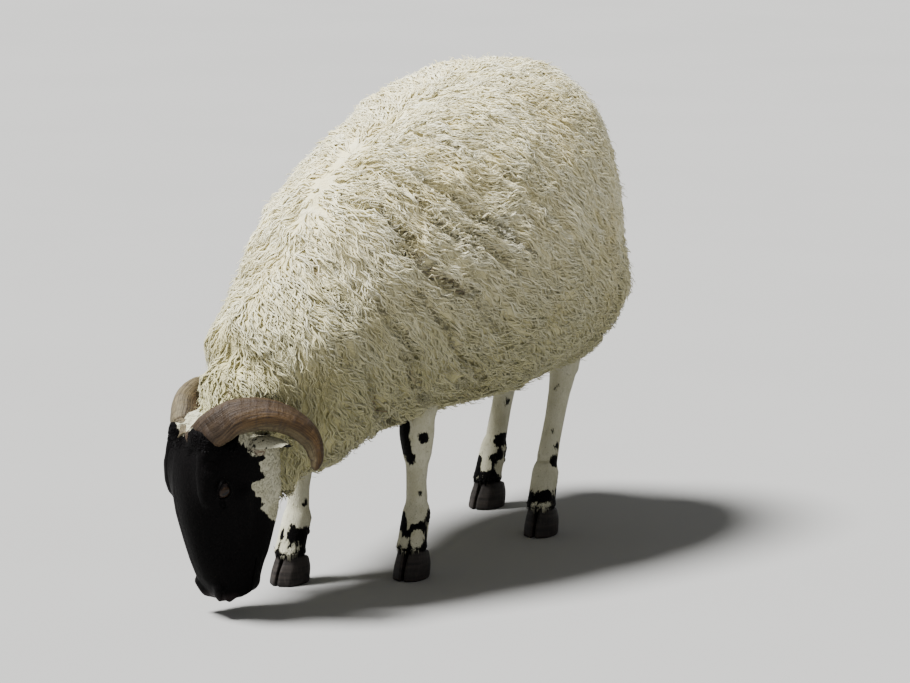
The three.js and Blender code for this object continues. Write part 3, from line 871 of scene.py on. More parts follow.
def on_ear(p):
    """Whether places in the head's frame are on an ear."""
    return (np.abs(p[:, 0]) > 0.064) & (p[:, 1] > -0.075) & (p[:, 2] < -0.045) & (p[:, 2] > -0.15)


def in_spot(q, spots):
    """How deep places in a foot's frame lie in the nearest of some spots."""
    stretched = (1, 0.6, 0.8)
    deep = [r - np.linalg.norm((q - (x, y, z)) * stretched, axis=1) for x, y, z, r in spots]
    return np.maximum.reduce(deep)


def blackness(points):
    """How deep a place lies in the black markings, in metres; below zero it is white."""
    p = HEAD.inward(points)
    on_head = outline.at(points, coat_parts["head"]) < outline.at(points, coat_parts["neck"]) + 0.004
    on_head |= outline.at(points, coat_parts["lower_jaw"]) < 0.006
    edge = np.interp(p[:, 1], BLACK_EDGE[:, 0], BLACK_EDGE[:, 1])
    black = (p[:, 2] - edge) * 0.8 + 0.0035 * edge_waves(points)
    between = -p[:, 1] - 0.030 + 0.9 * np.abs(np.abs(p[:, 0]) - 0.004)
    black = np.where((p[:, 1] > -0.050) & (p[:, 2] > -0.045), np.minimum(black, 0.8 * between), black)
    black = np.where(on_head | (p[:, 1] < -0.06), black, -0.02)
    out = np.abs(p[:, 0])
    ear = np.maximum(out - 0.123, 0.0035 * (ear_waves(points) - 1.6))
    under = smooth_step(out, 0.070, 0.082)
    specks = 0.005 * (ear_waves(points * 1.6) - 0.45) * under
    ear = np.maximum(ear, np.where(p[:, 2] > -0.078, specks, -0.01))
    black = np.where(on_ear(p), ear, black)
    for leg, place in FEET.items():
        q = place.inward(points)
        near = (np.abs(q[:, 0]) < 0.06) & (q[:, 1] > -0.07) & (q[:, 1] < 0.16) & (q[:, 2] < 0.33)
        top = BLOTCH_TOP[leg]
        over = smooth_step(q[:, 2], top - 0.030, top + 0.012)
        leg_black = 0.010 * (blotches[leg](q * (1, 1, 0.7)) + 0.42 - 2.6 * over)
        leg_black = np.maximum(leg_black, in_spot(q, SPOTS[leg]))
        leg_black = np.minimum(leg_black, -in_spot(q, PALE_SPOTS[leg]))
        leg_black = np.maximum(leg_black, 0.5 * (0.050 - q[:, 2]) + 0.002 * blotches[leg](q * 2))
        black = np.where(near, leg_black, black)
    return black


# ---------------------------------------------------------------- horns
# Along a horn in the head's frame: out from its root, up to the crown, back, and its half thickness.
HORN_ROOT = np.array((0.034, -0.016, -0.012))
HORN_PATH = np.array((
    (-0.026, -0.027, -0.012, 0.0200), (-0.010, -0.014, -0.002, 0.0262), (0.006, 0.001, 0.006, 0.0285),
    (0.031, 0.020, 0.024, 0.0260), (0.057, 0.027, 0.056, 0.0225), (0.078, 0.016, 0.091, 0.0190),
    (0.091, -0.008, 0.117, 0.0160), (0.102, -0.035, 0.121, 0.0115), (0.106, -0.051, 0.116, 0.0065)))


def curve_through(rows, count):
    """Points on a smooth curve through rows of numbers."""
    rows = np.asarray(rows, float)
    padded = np.vstack((2 * rows[0] - rows[1], rows, 2 * rows[-1] - rows[-2]))
    t = np.linspace(0, len(rows) - 1.0001, count)
    i = t.astype(int)
    f = (t - i)[:, None]
    a, b, c, d = (padded[i + k] for k in range(4))
    return 0.5 * (2 * b + (c - a) * f + (2 * a - 5 * b + 4 * c - d) * f**2 + (3 * b - a - 3 * c + d) * f**3)


def tube(rings):
    """Corners and triangles of a closed tube through rings of points."""
    count, sides = rings.shape[:2]
    points = np.concatenate((rings.reshape(-1, 3), rings[:1].mean(1), rings[-1:].mean(1)))
    faces = []
    for i in range(count - 1):
        for j in range(sides):
            a, b = i * sides + j, i * sides + (j + 1) % sides
            faces += [(a, b, b + sides), (a, b + sides, a + sides)]
    start, end, last = len(points) - 2, len(points) - 1, (count - 1) * sides
    for j in range(sides):
        k = (j + 1) % sides
        faces += [(start, k, j), (end, last + j, last + k)]
    return points, np.array(faces)


def outward_facing(points, faces):
    corners = points[faces]
    volume = np.einsum("ij,ij->i", corners[:, 0], np.cross(corners[:, 1], corners[:, 2])).sum()
    return faces if volume > 0 else faces[:, ::-1]


def horn(side, word):
    turns, sides = 150, 40
    path = curve_through(HORN_PATH, turns)
    out = side * (path[:, 0] + HORN_ROOT[0])
    middle = np.stack((out, path[:, 1] + HORN_ROOT[1], HORN_ROOT[2] - path[:, 2]), axis=1)
    tangent = unit(np.gradient(middle, axis=0))
    outward = np.array((side, 0, 0)) - side * tangent[:, :1] * tangent
    outward = unit(outward)
    across = np.cross(tangent, outward)
    travel = np.concatenate(((0,), np.cumsum(np.linalg.norm(np.diff(middle, axis=0), axis=1))))
    share = travel / travel[-1]
    angle = np.linspace(0, 2 * math.pi, sides, endpoint=False)
    draw = np.random.default_rng(50 + side)
    beat = travel / 0.0085 + 0.8 * np.sin(travel / 0.021 + side) + 0.5 * np.sin(travel / 0.034)
    growth = (np.abs(np.sin(beat * math.pi / 2)) ** 0.6 - 0.6) * 0.050 * (1 - 0.75 * share)
    growth = growth + 0.012 * np.sin(travel / 0.0125 + 1.3 * side) * (1 - share)
    streak = sum(draw.uniform(0.3, 1) * np.sin(k * angle + draw.uniform(0, 6.28)) for k in (9, 13, 17)) / 3
    slow = np.sin(3 * angle[None] + 4 * share[:, None])
    relief = 0.08 * np.cos(3 * angle)[None] + growth[:, None] + 0.014 * streak[None] + 0.012 * slow
    thick = path[:, 3:4] * (1 + relief)
    rings = (middle[:, None] + outward[:, None] * (np.cos(angle)[None] * thick * 0.84)[:, :, None]
             + across[:, None] * (np.sin(angle)[None] * thick * 1.06)[:, :, None])
    tip = middle[-1] + tangent[-1] * path[-1, 3] * 0.9
    cap = np.stack([rings[-1] * (1 - k) + tip * k for k in (0.35, 0.7)])
    rings = np.concatenate((rings, cap))
    points, faces = tube(rings)
    obj = piece_from(f"horn_shell_{word}", HEAD.outward(points), outward_facing(points, faces))
    share = np.concatenate((share, (1.0, 1.0)))
    attribute(obj, "share", np.concatenate((np.repeat(share, sides), (0, 1))))
    attribute(obj, "round", np.concatenate((np.tile(np.cos(angle), len(share)), (0, 0))))
    attribute(obj, "round_b", np.concatenate((np.tile(np.sin(angle), len(share)), (0, 0))))
    return obj


# ---------------------------------------------------------------- claws
def smooth_copy(node, cell=0.0012):
    """A CAD piece again with its facets rounded."""
    low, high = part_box(node)
    field = Field(np.array(low) - 0.008, np.array(high) + 0.008, cell)
    field.join_nodes((node,), band=5, cut=0.0)
    field.soften((1, 2))
    piece = thin_out(field.as_piece(f"{node}_horn"), 3000)
    points = arrays_of(piece)[0].astype(float)
    low, high = points.min(0), points.max(0)
    middle = (low + high) / 2
    if "dewclaw" in node:
        shell = arrays_of(skin)[0].astype(float)
        near = shell[np.argmin(np.linalg.norm(shell - middle, axis=1))]
        points = near + unit((middle - near)[None]) * 0.001 + (points - middle) * 0.72
    else:
        rise = smooth_step((points[:, 2] - low[2]) / (high[2] - low[2]), 0.40, 1.0)[:, None]
        points[:, :2] = middle[:2] + (points[:, :2] - middle[:2]) * (1 - 0.15 * rise)
    piece.data.vertices.foreach_set("co", points.astype(np.float32).ravel())
    piece.data.update()
    return piece


# ---------------------------------------------------------------- eyes
def eyeball(side, word):
    """An eyeball with its cornea, turned the way it looks."""
    along, up, out = eye_axes(side)
    polar = np.linspace(0, math.pi, 34)[1:-1]
    spin = np.linspace(0, 2 * math.pi, 48, endpoint=False)
    radius = 0.966 * EYE_RADIUS * (1 + 0.050 * smooth_step(0.80 - polar, 0, 0.35))
    a = np.sin(polar)[:, None] * np.cos(spin)
    b = np.sin(polar)[:, None] * np.sin(spin)
    c = np.repeat(np.cos(polar)[:, None], len(spin), axis=1)
    rings = (a[..., None] * along + b[..., None] * up + c[..., None] * out) * radius[:, None, None]
    points, faces = tube(rings)
    points[-2], points[-1] = out * radius[0], -out * radius[-1]
    local = points / EYE_RADIUS
    faces = outward_facing(points, faces)
    obj = piece_from(f"eyeball_{word}", HEAD.outward(points + EYE_IN_HEAD * (side, 1, 1)), faces)
    attribute(obj, "across", local @ along)
    attribute(obj, "upward", local @ up)
    attribute(obj, "facing", local @ out)
    return obj


# ---------------------------------------------------------------- finishes
class Value:
    """A number that varies over a surface; sums of it add Math nodes."""

    def __init__(self, finish, socket):
        self.finish = finish
        self.socket = socket

    def math(self, operation, *terms):
        return self.finish.node("ShaderNodeMath", {"operation": operation}, dict(enumerate(terms)))

    def __add__(self, other):
        return self.math("ADD", self, other)

    def __sub__(self, other):
        return self.math("SUBTRACT", self, other)

    def __rsub__(self, other):
        return self.math("SUBTRACT", other, self)

    def __mul__(self, other):
        return self.math("MULTIPLY", self, other)

    def __truediv__(self, other):
        return self.math("DIVIDE", self, other)

    def __pow__(self, other):
        return self.math("POWER", self, other)

    __radd__ = __add__
    __rmul__ = __mul__

    def between(self, low, high):
        """0 below low, 1 above high, smooth between."""
        inputs = {"Value": self, "From Min": low, "From Max": high}
        return self.finish.node("ShaderNodeMapRange", {"interpolation_type": "SMOOTHSTEP"}, inputs)


class Finish:
    """A material and the nodes that make it."""

    def __init__(self, name, **constants):
        self.material = bpy.data.materials.new(name)
        self.material.use_nodes = True
        self.tree = self.material.node_tree
        self.shader = self.tree.nodes["Principled BSDF"]
        for key, value in constants.items():
            self.shader.inputs[key.replace("_", " ")].default_value = value

    def node(self, kind, settings=None, inputs=None, output=0):
        made = self.tree.nodes.new(kind)
        for key, value in (settings or {}).items():
            setattr(made, key, value)
        for key, value in (inputs or {}).items():
            self.fill(made.inputs[key], value)
        return Value(self, made.outputs[output])

    def fill(self, socket, value):
        if isinstance(value, Value):
            self.tree.links.new(value.socket, socket)
        elif socket.type == "RGBA":
            socket.default_value = (*value, 1)
        else:
            socket.default_value = value

    def attribute(self, name):
        return self.node("ShaderNodeAttribute", {"attribute_name": name}, output="Fac")

    def place(self, scale=(1, 1, 1)):
        """Object coordinates, stretched."""
        where = self.node("ShaderNodeTexCoord", output="Object")
        return self.node("ShaderNodeMapping", {}, {"Vector": where, "Scale": scale})

    def noise(self, where, scale, detail=3.0, roughness=0.5):
        inputs = {"Vector": where, "Scale": scale, "Detail": detail, "Roughness": roughness}
        return self.node("ShaderNodeTexNoise", {}, inputs, "Fac")

    def mix(self, factor, one, other):
        """One colour where the factor is 0, the other where it is 1."""
        return self.node("ShaderNodeMix", {"data_type": "RGBA"}, {0: factor, 6: one, 7: other}, 2)

    def set(self, name, value):
        self.fill(self.shader.inputs[name], value)

    def bump(self, height, strength, distance):
        inputs = {"Height": height, "Strength": strength, "Distance": distance}
        self.set("Normal", self.node("ShaderNodeBump", {}, inputs))


# Dark tan: painted shade toward the roots of the locks and in hollows, and also the colour of darker fibres and lumps.
DARK_WOOL_AND_ROOT_SHADE = (0.30, 0.235, 0.115)
# Dark brown: painted shade in the partings of the fleece.
PARTING_SHADE_WOOL = (0.150, 0.105, 0.050)
CREAM_WOOL = (0.82, 0.755, 0.455)
BRIGHT_WOOL = (0.94, 0.905, 0.68)
YELLOW_WOOL = (0.74, 0.63, 0.29)
# Grey-green for low on the body: partly dirt, partly painted shade.
LOW_DIRT_AND_SHADE_WOOL = (0.30, 0.29, 0.125)
BLACK_FUR = (0.0012, 0.0011, 0.0012)
WHITE_FUR = (0.50, 0.485, 0.37)


def wool_colour(finish, along, tone, sunk):
    """Cream wool, yellowed in places, greyer and darker low on the body as dirt and painted shade, with painted shade
    as darker tan toward the roots of the locks and dark brown in the partings.
    """
    where = finish.place()
    stain = finish.noise(where, 9.0, 2.0).between(0.48, 0.74)
    height = finish.node("ShaderNodeSeparateXYZ", {}, {0: where}, 2)
    # Greyer and darker low on the body: partly dirt, partly painted shade.
    low = 1 - height.between(0.27, 0.60)
    colour = finish.mix(tone.between(0.1, 0.95), CREAM_WOOL, BRIGHT_WOOL)
    colour = finish.mix(stain * 0.40, colour, YELLOW_WOOL)
    colour = finish.mix(low * 0.80, colour, LOW_DIRT_AND_SHADE_WOOL)
    # Painted shade: darker tan toward the root of each lock, where the locks shade each other.
    deep = 1 - along.between(0.0, 0.42)
    colour = finish.mix(deep * 0.30, colour, DARK_WOOL_AND_ROOT_SHADE)
    # Painted shade: dark brown in the partings.
    return finish.mix(sunk.between(0.08, 0.62) * 0.85, colour, PARTING_SHADE_WOOL)


def fleece_finish():
    finish = Finish("wavy_fleece", Roughness=0.82, Specular_IOR_Level=0.25,
                    Sheen_Weight=0.25, Sheen_Roughness=0.5)
    along = finish.attribute("along")
    colour = wool_colour(finish, along, finish.attribute("tone"), finish.attribute("sunk"))
    strand = finish.node("ShaderNodeUVMap", {"uv_map": "Strand"})
    stretched = finish.node("ShaderNodeMapping", {}, {"Vector": strand, "Scale": (16, 2.2, 1)})
    fibres = finish.noise(stretched, 1.0, 3.0, 0.6)
    finish.set("Base Color", finish.mix(fibres.between(0.35, 0.7) * 0.30, colour, DARK_WOOL_AND_ROOT_SHADE))
    finish.bump(fibres, 0.6, 0.0012)
    return finish.material


def hair_colour(finish, black, fine):
    """Black hair or grey-white hair, with a tousled edge between them."""
    patches = finish.noise(finish.place(), 30.0, 3.0).between(0.35, 0.75)
    white = finish.mix(patches * 0.5, WHITE_FUR, (0.34, 0.32, 0.20))
    white = finish.mix(fine.between(0.4, 0.7) * 0.35, white, (0.22, 0.205, 0.125))
    dark = finish.mix(fine.between(0.40, 0.78), BLACK_FUR, (0.006, 0.005, 0.005))
    return finish.mix(black, white, dark)


def skin_finish():
    """Short black and white hair, and the roots of the wool under the fleece."""
    finish = Finish("short_hair", Specular_IOR_Level=0.03, Sheen_Weight=0.01, Sheen_Roughness=0.4)
    where = finish.place((1, 1, 0.35))
    fine = finish.noise(where, 900.0, 3.0, 0.6)
    ragged = finish.noise(where, 240.0, 3.0, 0.65)
    black = (finish.attribute("black") + (ragged - 0.5) * 0.011).between(-0.0008, 0.0010)
    hair = hair_colour(finish, black, fine)
    bare = finish.attribute("bare")
    hair = finish.mix(bare, hair, (0.018, 0.014, 0.014))
    inner_ear = finish.mix(finish.attribute("in_ear") * 0.8, hair, (0.115, 0.070, 0.050))
    finish.set("Base Color", finish.mix(finish.attribute("woolly"), inner_ear, (0.50, 0.43, 0.28)))
    finish.set("Roughness", 0.80 - black * 0.22 - bare * 0.15)
    finish.bump(fine * 0.6 + finish.noise(where, 320.0, 2.0) * 0.8, 0.55, 0.0014)
    return finish.material


def tuft_finish():
    """The same hair on the short tufts, coloured by where each is rooted."""
    finish = Finish("hair_tufts", Roughness=0.62, Specular_IOR_Level=0.03,
                    Sheen_Weight=0.01, Sheen_Roughness=0.4)
    black = finish.attribute("black").between(-0.0012, 0.0012)
    strands = finish.noise(finish.place((1, 1, 0.3)), 1400.0, 2.0, 0.6)
    colour = hair_colour(finish, black, strands)
    tip = finish.attribute("along").between(0.1, 0.9)
    tip_colour = finish.mix(black, (0.60, 0.58, 0.44), (0.007, 0.006, 0.006))
    finish.set("Base Color", finish.mix(tip * 0.35, colour, tip_colour))
    finish.bump(strands, 0.5, 0.0008)
    return finish.material


def underwool_finish():
    finish = Finish("felted_underwool", Roughness=0.95, Specular_IOR_Level=0.15)
    lumps = finish.noise(finish.place(), 190.0, 4.0, 0.6)
    # Painted shade: the low hollows of the lumps get the darker roots of wool_colour.
    colour = wool_colour(finish, lumps.between(0.2, 0.9), finish.attribute("tone"), finish.attribute("sunk"))
    # Painted shade: dark brown in the partings.
    colour = finish.mix(finish.attribute("sunk").between(0.10, 0.60) * 0.75, colour, PARTING_SHADE_WOOL)
    finish.set("Base Color", finish.mix(lumps.between(0.3, 0.6) * 0.25, colour, DARK_WOOL_AND_ROOT_SHADE))
    finish.bump(lumps, 0.9, 0.004)
    return finish.material


def horn_finish():
    """Pinkish grey at the root and amber toward the tip, streaked lengthwise and ringed by its growth."""
    finish = Finish("ridged_horn", Specular_IOR_Level=0.22)
    share = finish.attribute("share")
    a, b = finish.attribute("round"), finish.attribute("round_b")
    lengthwise = finish.node("ShaderNodeCombineXYZ", {}, {0: a * 7.0, 1: b * 7.0, 2: share * 4.0})
    streaks = finish.noise(lengthwise, 1.6, 5.0, 0.65)
    ringwise = finish.node("ShaderNodeCombineXYZ", {}, {0: a * 0.9, 1: b * 0.9, 2: share * 34.0})
    rings = finish.noise(ringwise, 1.0, 3.0, 0.5)
    patches = finish.noise(finish.place(), 26.0, 3.0, 0.6)
    pink = finish.mix(streaks.between(0.35, 0.68), (0.030, 0.018, 0.010), (0.112, 0.074, 0.042))
    amber = finish.mix(streaks.between(0.32, 0.66), (0.026, 0.012, 0.004), (0.112, 0.064, 0.022))
    grey = finish.mix(streaks.between(0.3, 0.7), (0.045, 0.039, 0.021), (0.205, 0.178, 0.103))
    colour = finish.mix((share + (patches - 0.5) * 0.6).between(0.12, 0.48), pink, amber)
    colour = finish.mix(b.between(0.15, 0.95) * 0.60, colour, grey)
    colour = finish.mix((-1 * b).between(-0.1, 0.8) * 0.72, colour, (0.020, 0.012, 0.006))
    colour = finish.mix(rings.between(0.52, 0.70) * 0.55, colour, (0.040, 0.027, 0.020))
    dark_streak = finish.noise(lengthwise, 0.8, 4.0, 0.7).between(0.54, 0.64)
    colour = finish.mix(dark_streak * 0.75, colour, (0.016, 0.011, 0.008))
    finish.set("Base Color", colour)
    finish.set("Roughness", 0.42 + streaks * 0.30)
    finish.bump(streaks * 0.8 + rings * 1.2, 0.9, 0.0030)
    return finish.material


def claw_finish():
    finish = Finish("dark_claw", Specular_IOR_Level=0.2)
    lines = finish.noise(finish.place((14, 14, 210)), 1.0, 2.0)
    grain = finish.noise(finish.place((330, 330, 22)), 1.0, 3.0)
    colour = finish.mix(lines.between(0.35, 0.7), (0.012, 0.010, 0.009), (0.026, 0.021, 0.018))
    finish.set("Base Color", finish.mix(grain.between(0.5, 0.8) * 0.4, colour, (0.060, 0.050, 0.042)))
    finish.set("Roughness", 0.42 + grain * 0.3)
    finish.bump(lines + grain * 0.5, 0.5, 0.0010)
    return finish.material


def eye_finish():
    """Amber-brown iris with a level slot for a pupil, under a wet cornea."""
    finish = Finish("amber_eye", Roughness=0.35, Specular_IOR_Level=0.08,
                    Coat_Weight=0.16, Coat_Roughness=0.03)
    a, b, c = finish.attribute("across"), finish.attribute("upward"), finish.attribute("facing")
    away = (a * a + b * b) ** 0.5
    spokes = {0: a / (away + 0.05) * 6.0, 1: b / (away + 0.05) * 6.0, 2: away * 2.0}
    spokes = finish.node("ShaderNodeCombineXYZ", {}, spokes)
    fibres = finish.noise(spokes, 2.2, 4.0, 0.6)
    iris = finish.mix(fibres.between(0.3, 0.7), (0.006, 0.0035, 0.002), (0.026, 0.014, 0.007))
    iris = finish.mix(away.between(0.52, 0.74), iris, (0.006, 0.004, 0.004))
    white = finish.mix(fibres, (0.006, 0.004, 0.004), (0.016, 0.012, 0.011))
    colour = finish.mix(away.between(0.74, 0.84), iris, white)
    colour = finish.mix(1 - c.between(-0.1, 0.1), colour, white)
    level, upright = a * 0.64 + b * 0.77, a * 0.77 - b * 0.64
    wide, high = level * level / 0.16, upright * upright / 0.0196
    slot = wide * wide + high * high
    finish.set("Base Color", finish.mix(1 - slot.between(0.85, 1.1), colour, (0.002, 0.002, 0.003)))
    return finish.material


def finished(obj, material, slot, *nodes):
    """Gives a piece its finish and the solids that it stands for; the slot is not used."""
    obj.data.materials.clear()
    obj.data.materials.append(material)
    obj.data.polygons.foreach_set("use_smooth", np.full(len(obj.data.polygons), True))
    obj.data.polygons.foreach_set("material_index", np.zeros(len(obj.data.polygons), np.int32))
    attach(obj, "root")
    if nodes:
        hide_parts(*nodes)
    return obj


# ---------------------------------------------------------------- short tufts
def tuft_tree():
    """Tufts along the lie of the hair, denser and longer where the skin's attributes say so."""
    tree = bpy.data.node_groups.new("hair_tufts", "GeometryNodeTree")
    face = tree.interface
    face.new_socket("Geometry", in_out="INPUT", socket_type="NodeSocketGeometry")
    for name, kind, value in (
        ("Tufts per square metre", "Float", 1e5), ("Tuft length", "Float", 1.0),
        ("Tuft width", "Float", 0.17), ("Tuft bend", "Float", 0.10),
        ("Seed", "Int", 3), ("Hair", "Material", None),
    ):
        made = face.new_socket(name, in_out="INPUT", socket_type=f"NodeSocket{kind}")
        if value is not None:
            made.default_value = value
    face.new_socket("Geometry", in_out="OUTPUT", socket_type="NodeSocketGeometry")

    def node(kind, settings=None, inputs=None):
        made = tree.nodes.new(kind)
        for key, value in (settings or {}).items():
            setattr(made, key, value)
        for key, value in (inputs or {}).items():
            if isinstance(value, bpy.types.NodeSocket):
                tree.links.new(value, made.inputs[key])
            else:
                made.inputs[key].default_value = value
        return made

    def named(name, kind="FLOAT"):
        read = node("GeometryNodeInputNamedAttribute", {"data_type": kind}, {"Name": name})
        return read.outputs["Attribute"]

    def math_of(operation, a, b):
        return node("ShaderNodeMath", {"operation": operation}, {0: a, 1: b}).outputs[0]

    def vector_of(operation, a, b):
        return node("ShaderNodeVectorMath", {"operation": operation}, {0: a, 1: b}).outputs[0]

    def scaled(vector, factor):
        return node("ShaderNodeVectorMath", {"operation": "SCALE"}, {0: vector, "Scale": factor}).outputs[0]

    def store(geometry, name, kind, domain, value):
        settings = {"data_type": kind, "domain": domain}
        return node("GeometryNodeStoreNamedAttribute", settings,
                    {"Geometry": geometry, "Name": name, "Value": value}).outputs[0]

    given = node("NodeGroupInput").outputs
    density = math_of("MULTIPLY", named("growth"), given["Tufts per square metre"])
    spread = node("GeometryNodeDistributePointsOnFaces", {"distribute_method": "RANDOM"},
                  {"Mesh": given["Geometry"], "Density": density, "Seed": given["Seed"]})
    normal = spread.outputs["Normal"]
    direction = vector_of("ADD", named("lie", "FLOAT_VECTOR"), scaled(normal, named("lift")))
    direction = vector_of("NORMALIZE", direction, (0, 0, 0))
    aim = node("FunctionNodeAlignRotationToVector", {"axis": "Z"}, {"Vector": direction}).outputs[0]
    turned = node("FunctionNodeAlignRotationToVector", {"axis": "X", "pivot_axis": "Z"},
                  {"Rotation": aim, "Vector": normal}).outputs[0]

    cone = node("GeometryNodeMeshCone", {"fill_type": "NGON"},
                {"Vertices": 3, "Side Segments": 3, "Radius Top": 0.0, "Radius Bottom": 1.0, "Depth": 1.0})
    height = node("ShaderNodeSeparateXYZ", {}, {0: node("GeometryNodeInputPosition").outputs[0]}).outputs[2]
    bow = math_of("MULTIPLY", math_of("MULTIPLY", height, height), -1.0)
    bent = node("ShaderNodeCombineXYZ", {}, {0: math_of("MULTIPLY", bow, given["Tuft bend"])}).outputs[0]
    thin = {0: math_of("MULTIPLY", given["Tuft width"], 0.55), 1: given["Tuft width"], 2: 1.0}
    thin = node("ShaderNodeCombineXYZ", {}, thin).outputs[0]
    narrow = node("GeometryNodeTransform", {}, {"Geometry": cone.outputs["Mesh"], "Scale": thin}).outputs[0]
    shape = store(narrow, "along", "FLOAT", "POINT", height)
    shape = store(shape, "tuft_patch", "FLOAT2", "CORNER", cone.outputs["UV Map"])
    shape = node("GeometryNodeSetPosition", {}, {"Geometry": shape, "Offset": bent}).outputs[0]

    chance = {2: 0.65, 3: 1.2, "Seed": given["Seed"]}
    chance = node("FunctionNodeRandomValue", {"data_type": "FLOAT"}, chance).outputs[1]
    long = math_of("MULTIPLY", math_of("MULTIPLY", named("long"), given["Tuft length"]), chance)
    size = node("ShaderNodeCombineXYZ", {}, {0: long, 1: long, 2: long}).outputs[0]
    placed = {"Points": spread.outputs["Points"], "Instance": shape, "Rotation": turned, "Scale": size}
    placed = node("GeometryNodeInstanceOnPoints", {}, placed).outputs[0]
    real = node("GeometryNodeRealizeInstances", {}, {"Geometry": placed}).outputs[0]
    patch = scaled(vector_of("SUBTRACT", named("tuft_patch", "FLOAT_VECTOR"), (0.5, 0.5, 0)), 0.003)
    unwrapped = vector_of("ADD", named("unwrap", "FLOAT_VECTOR"), patch)
    real = store(real, "OFBake", "FLOAT2", "CORNER", unwrapped)
    dressed = node("GeometryNodeSetMaterial", {}, {"Geometry": real, "Material": given["Hair"]}).outputs[0]
    node("NodeGroupOutput", {}, {0: dressed})
    return tree


def vector_attribute(obj, name, values):
    """Stores a direction or a pair of numbers for each corner point."""
    made = obj.data.attributes.new(name, "FLOAT_VECTOR", "POINT")
    padded = np.zeros((len(values), 3), np.float32)
    padded[:, : values.shape[1]] = values
    made.data.foreach_set("vector", padded.ravel())


def hair_of_head(points):
    """How densely, how long and which way the hair grows on the head, and how much it stands out."""
    p = HEAD.inward(points)
    black = blackness(points)
    out = np.abs(p[:, 0])
    side = np.sign(p[:, 0])
    cheek = smooth_step(-black, 0.0, 0.004) * (p[:, 2] < -0.03) * (p[:, 1] > -0.20)
    ear = on_ear(p)
    parting = (p[:, 1] > -0.045) & (p[:, 2] > -0.045)
    lips = smooth_step(-p[:, 1], 0.20, 0.27)
    bare = smooth_step(-p[:, 1], 0.272, 0.284) * (p[:, 2] > -0.078)
    eye = np.minimum(*(np.linalg.norm(p - EYE_IN_HEAD * (s, 1, 1), axis=1) for s in (1, -1)))
    growth = 0.20 + 1.9 * cheek
    growth = np.where(ear, 0.75, growth)
    growth = np.where(parting, 1.8, growth) * (1 - bare) * (eye > 0.0175)
    long = 0.0050 + 0.0160 * cheek - 0.0012 * lips
    long = np.where(ear, 0.0075, long)
    long = np.where(parting, 0.017, long)
    lift = 0.18 + 0.55 * cheek
    lift = np.where(ear, 0.20, lift)
    down = -0.3 - 0.7 * cheek - 0.5 * smooth_step(-p[:, 2], 0.03, 0.10)
    lie = np.stack((0 * out, -1 + 0.7 * cheek, down), axis=1)
    lie = np.where(ear[:, None], np.stack((side, 0 * out + 0.1, 0 * out - 0.25), axis=1), lie)
    lie = np.where(parting[:, None], np.stack((0.3 * side, 0 * out - 0.8, 0 * out + 0.5), axis=1), lie)
    from_horn = rod((out, p[:, 1], p[:, 2]), (0.020, -0.034, -0.008), (0.040, -0.015, -0.018), 0.026, 0.028)
    collar = (from_horn < 0.007) & (from_horn > -0.004)
    growth = np.where(collar, 2.4, growth) * (from_horn > -0.004)
    long = np.where(collar, 0.014, long)
    lift = np.where(collar, 0.8, lift)
    lie = np.where(collar[:, None], np.stack((0.6 * side, 0 * out + 0.45, 0 * out - 0.2), axis=1), lie)
    return growth, long, lift, lie @ HEAD.turn.T


def hair_of_leg(points, leg):
    """The same for a leg: flat on the shank, longer at its top, at the fetlock and round the hoof's top."""
    q = FEET[leg].inward(points)
    z = q[:, 2]
    hoof_top = np.exp(-(((z - 0.048) / 0.010) ** 2))
    fetlock = np.exp(-(((z - 0.088) / 0.022) ** 2)) * smooth_step(q[:, 1], 0.0, 0.03)
    top = smooth_step(z, 0.27, 0.33)
    growth = 0.30 + 1.6 * hoof_top + 1.2 * fetlock + 1.2 * top
    long = 0.0060 + 0.0085 * hoof_top + 0.012 * fetlock + 0.014 * top
    lift = 0.12 + 0.22 * hoof_top + 0.35 * fetlock + 0.30 * top
    lie = np.zeros((len(z), 3))
    lie[:, 2] = -1
    lie[:, 1] = 0.25 * fetlock
    return growth * (z > 0.036), long, lift, lie


def tufts(name, part, chosen, growing, tree, hair, seed, density):
    """Grows tufts on the chosen triangles of the skin and keeps them as a mesh."""
    points, faces = arrays_of(skin)
    used, inverse = np.unique(faces[chosen], return_inverse=True)
    bed = piece_from(name, points[used], inverse.reshape(-1, 3))
    where = points[used].astype(float)
    growth, long, lift, lie = growing(where)
    normals = np.empty(len(used) * 3, np.float32)
    bed.data.vertices.foreach_get("normal", normals)
    normals = normals.reshape(-1, 3)
    lie = unit(lie - normals * (lie * normals).sum(1, keepdims=True))
    for key, values in (("growth", growth), ("long", long), ("lift", lift), ("black", blackness(where))):
        attribute(bed, key, values)
    vector_attribute(bed, "lie", lie)
    vector_attribute(bed, "unwrap", unrolled(where, part))
    grower = bed.modifiers.new("tufts", "NODES")
    grower.node_group = tree
    sockets = {item.name: item.identifier for item in tree.interface.items_tree if item.in_out == "INPUT"}
    grower[sockets["Tufts per square metre"]] = density
    grower[sockets["Seed"]] = seed
    grower[sockets["Hair"]] = hair
    graph = bpy.context.evaluated_depsgraph_get()
    mesh = bpy.data.meshes.new_from_object(bed.evaluated_get(graph), depsgraph=graph)
    bed.modifiers.clear()
    bed.data = mesh
    return bed


def within(points, low, high):
    """Whether points lie inside a box."""
    return ((points > low) & (points < high)).all(axis=1)


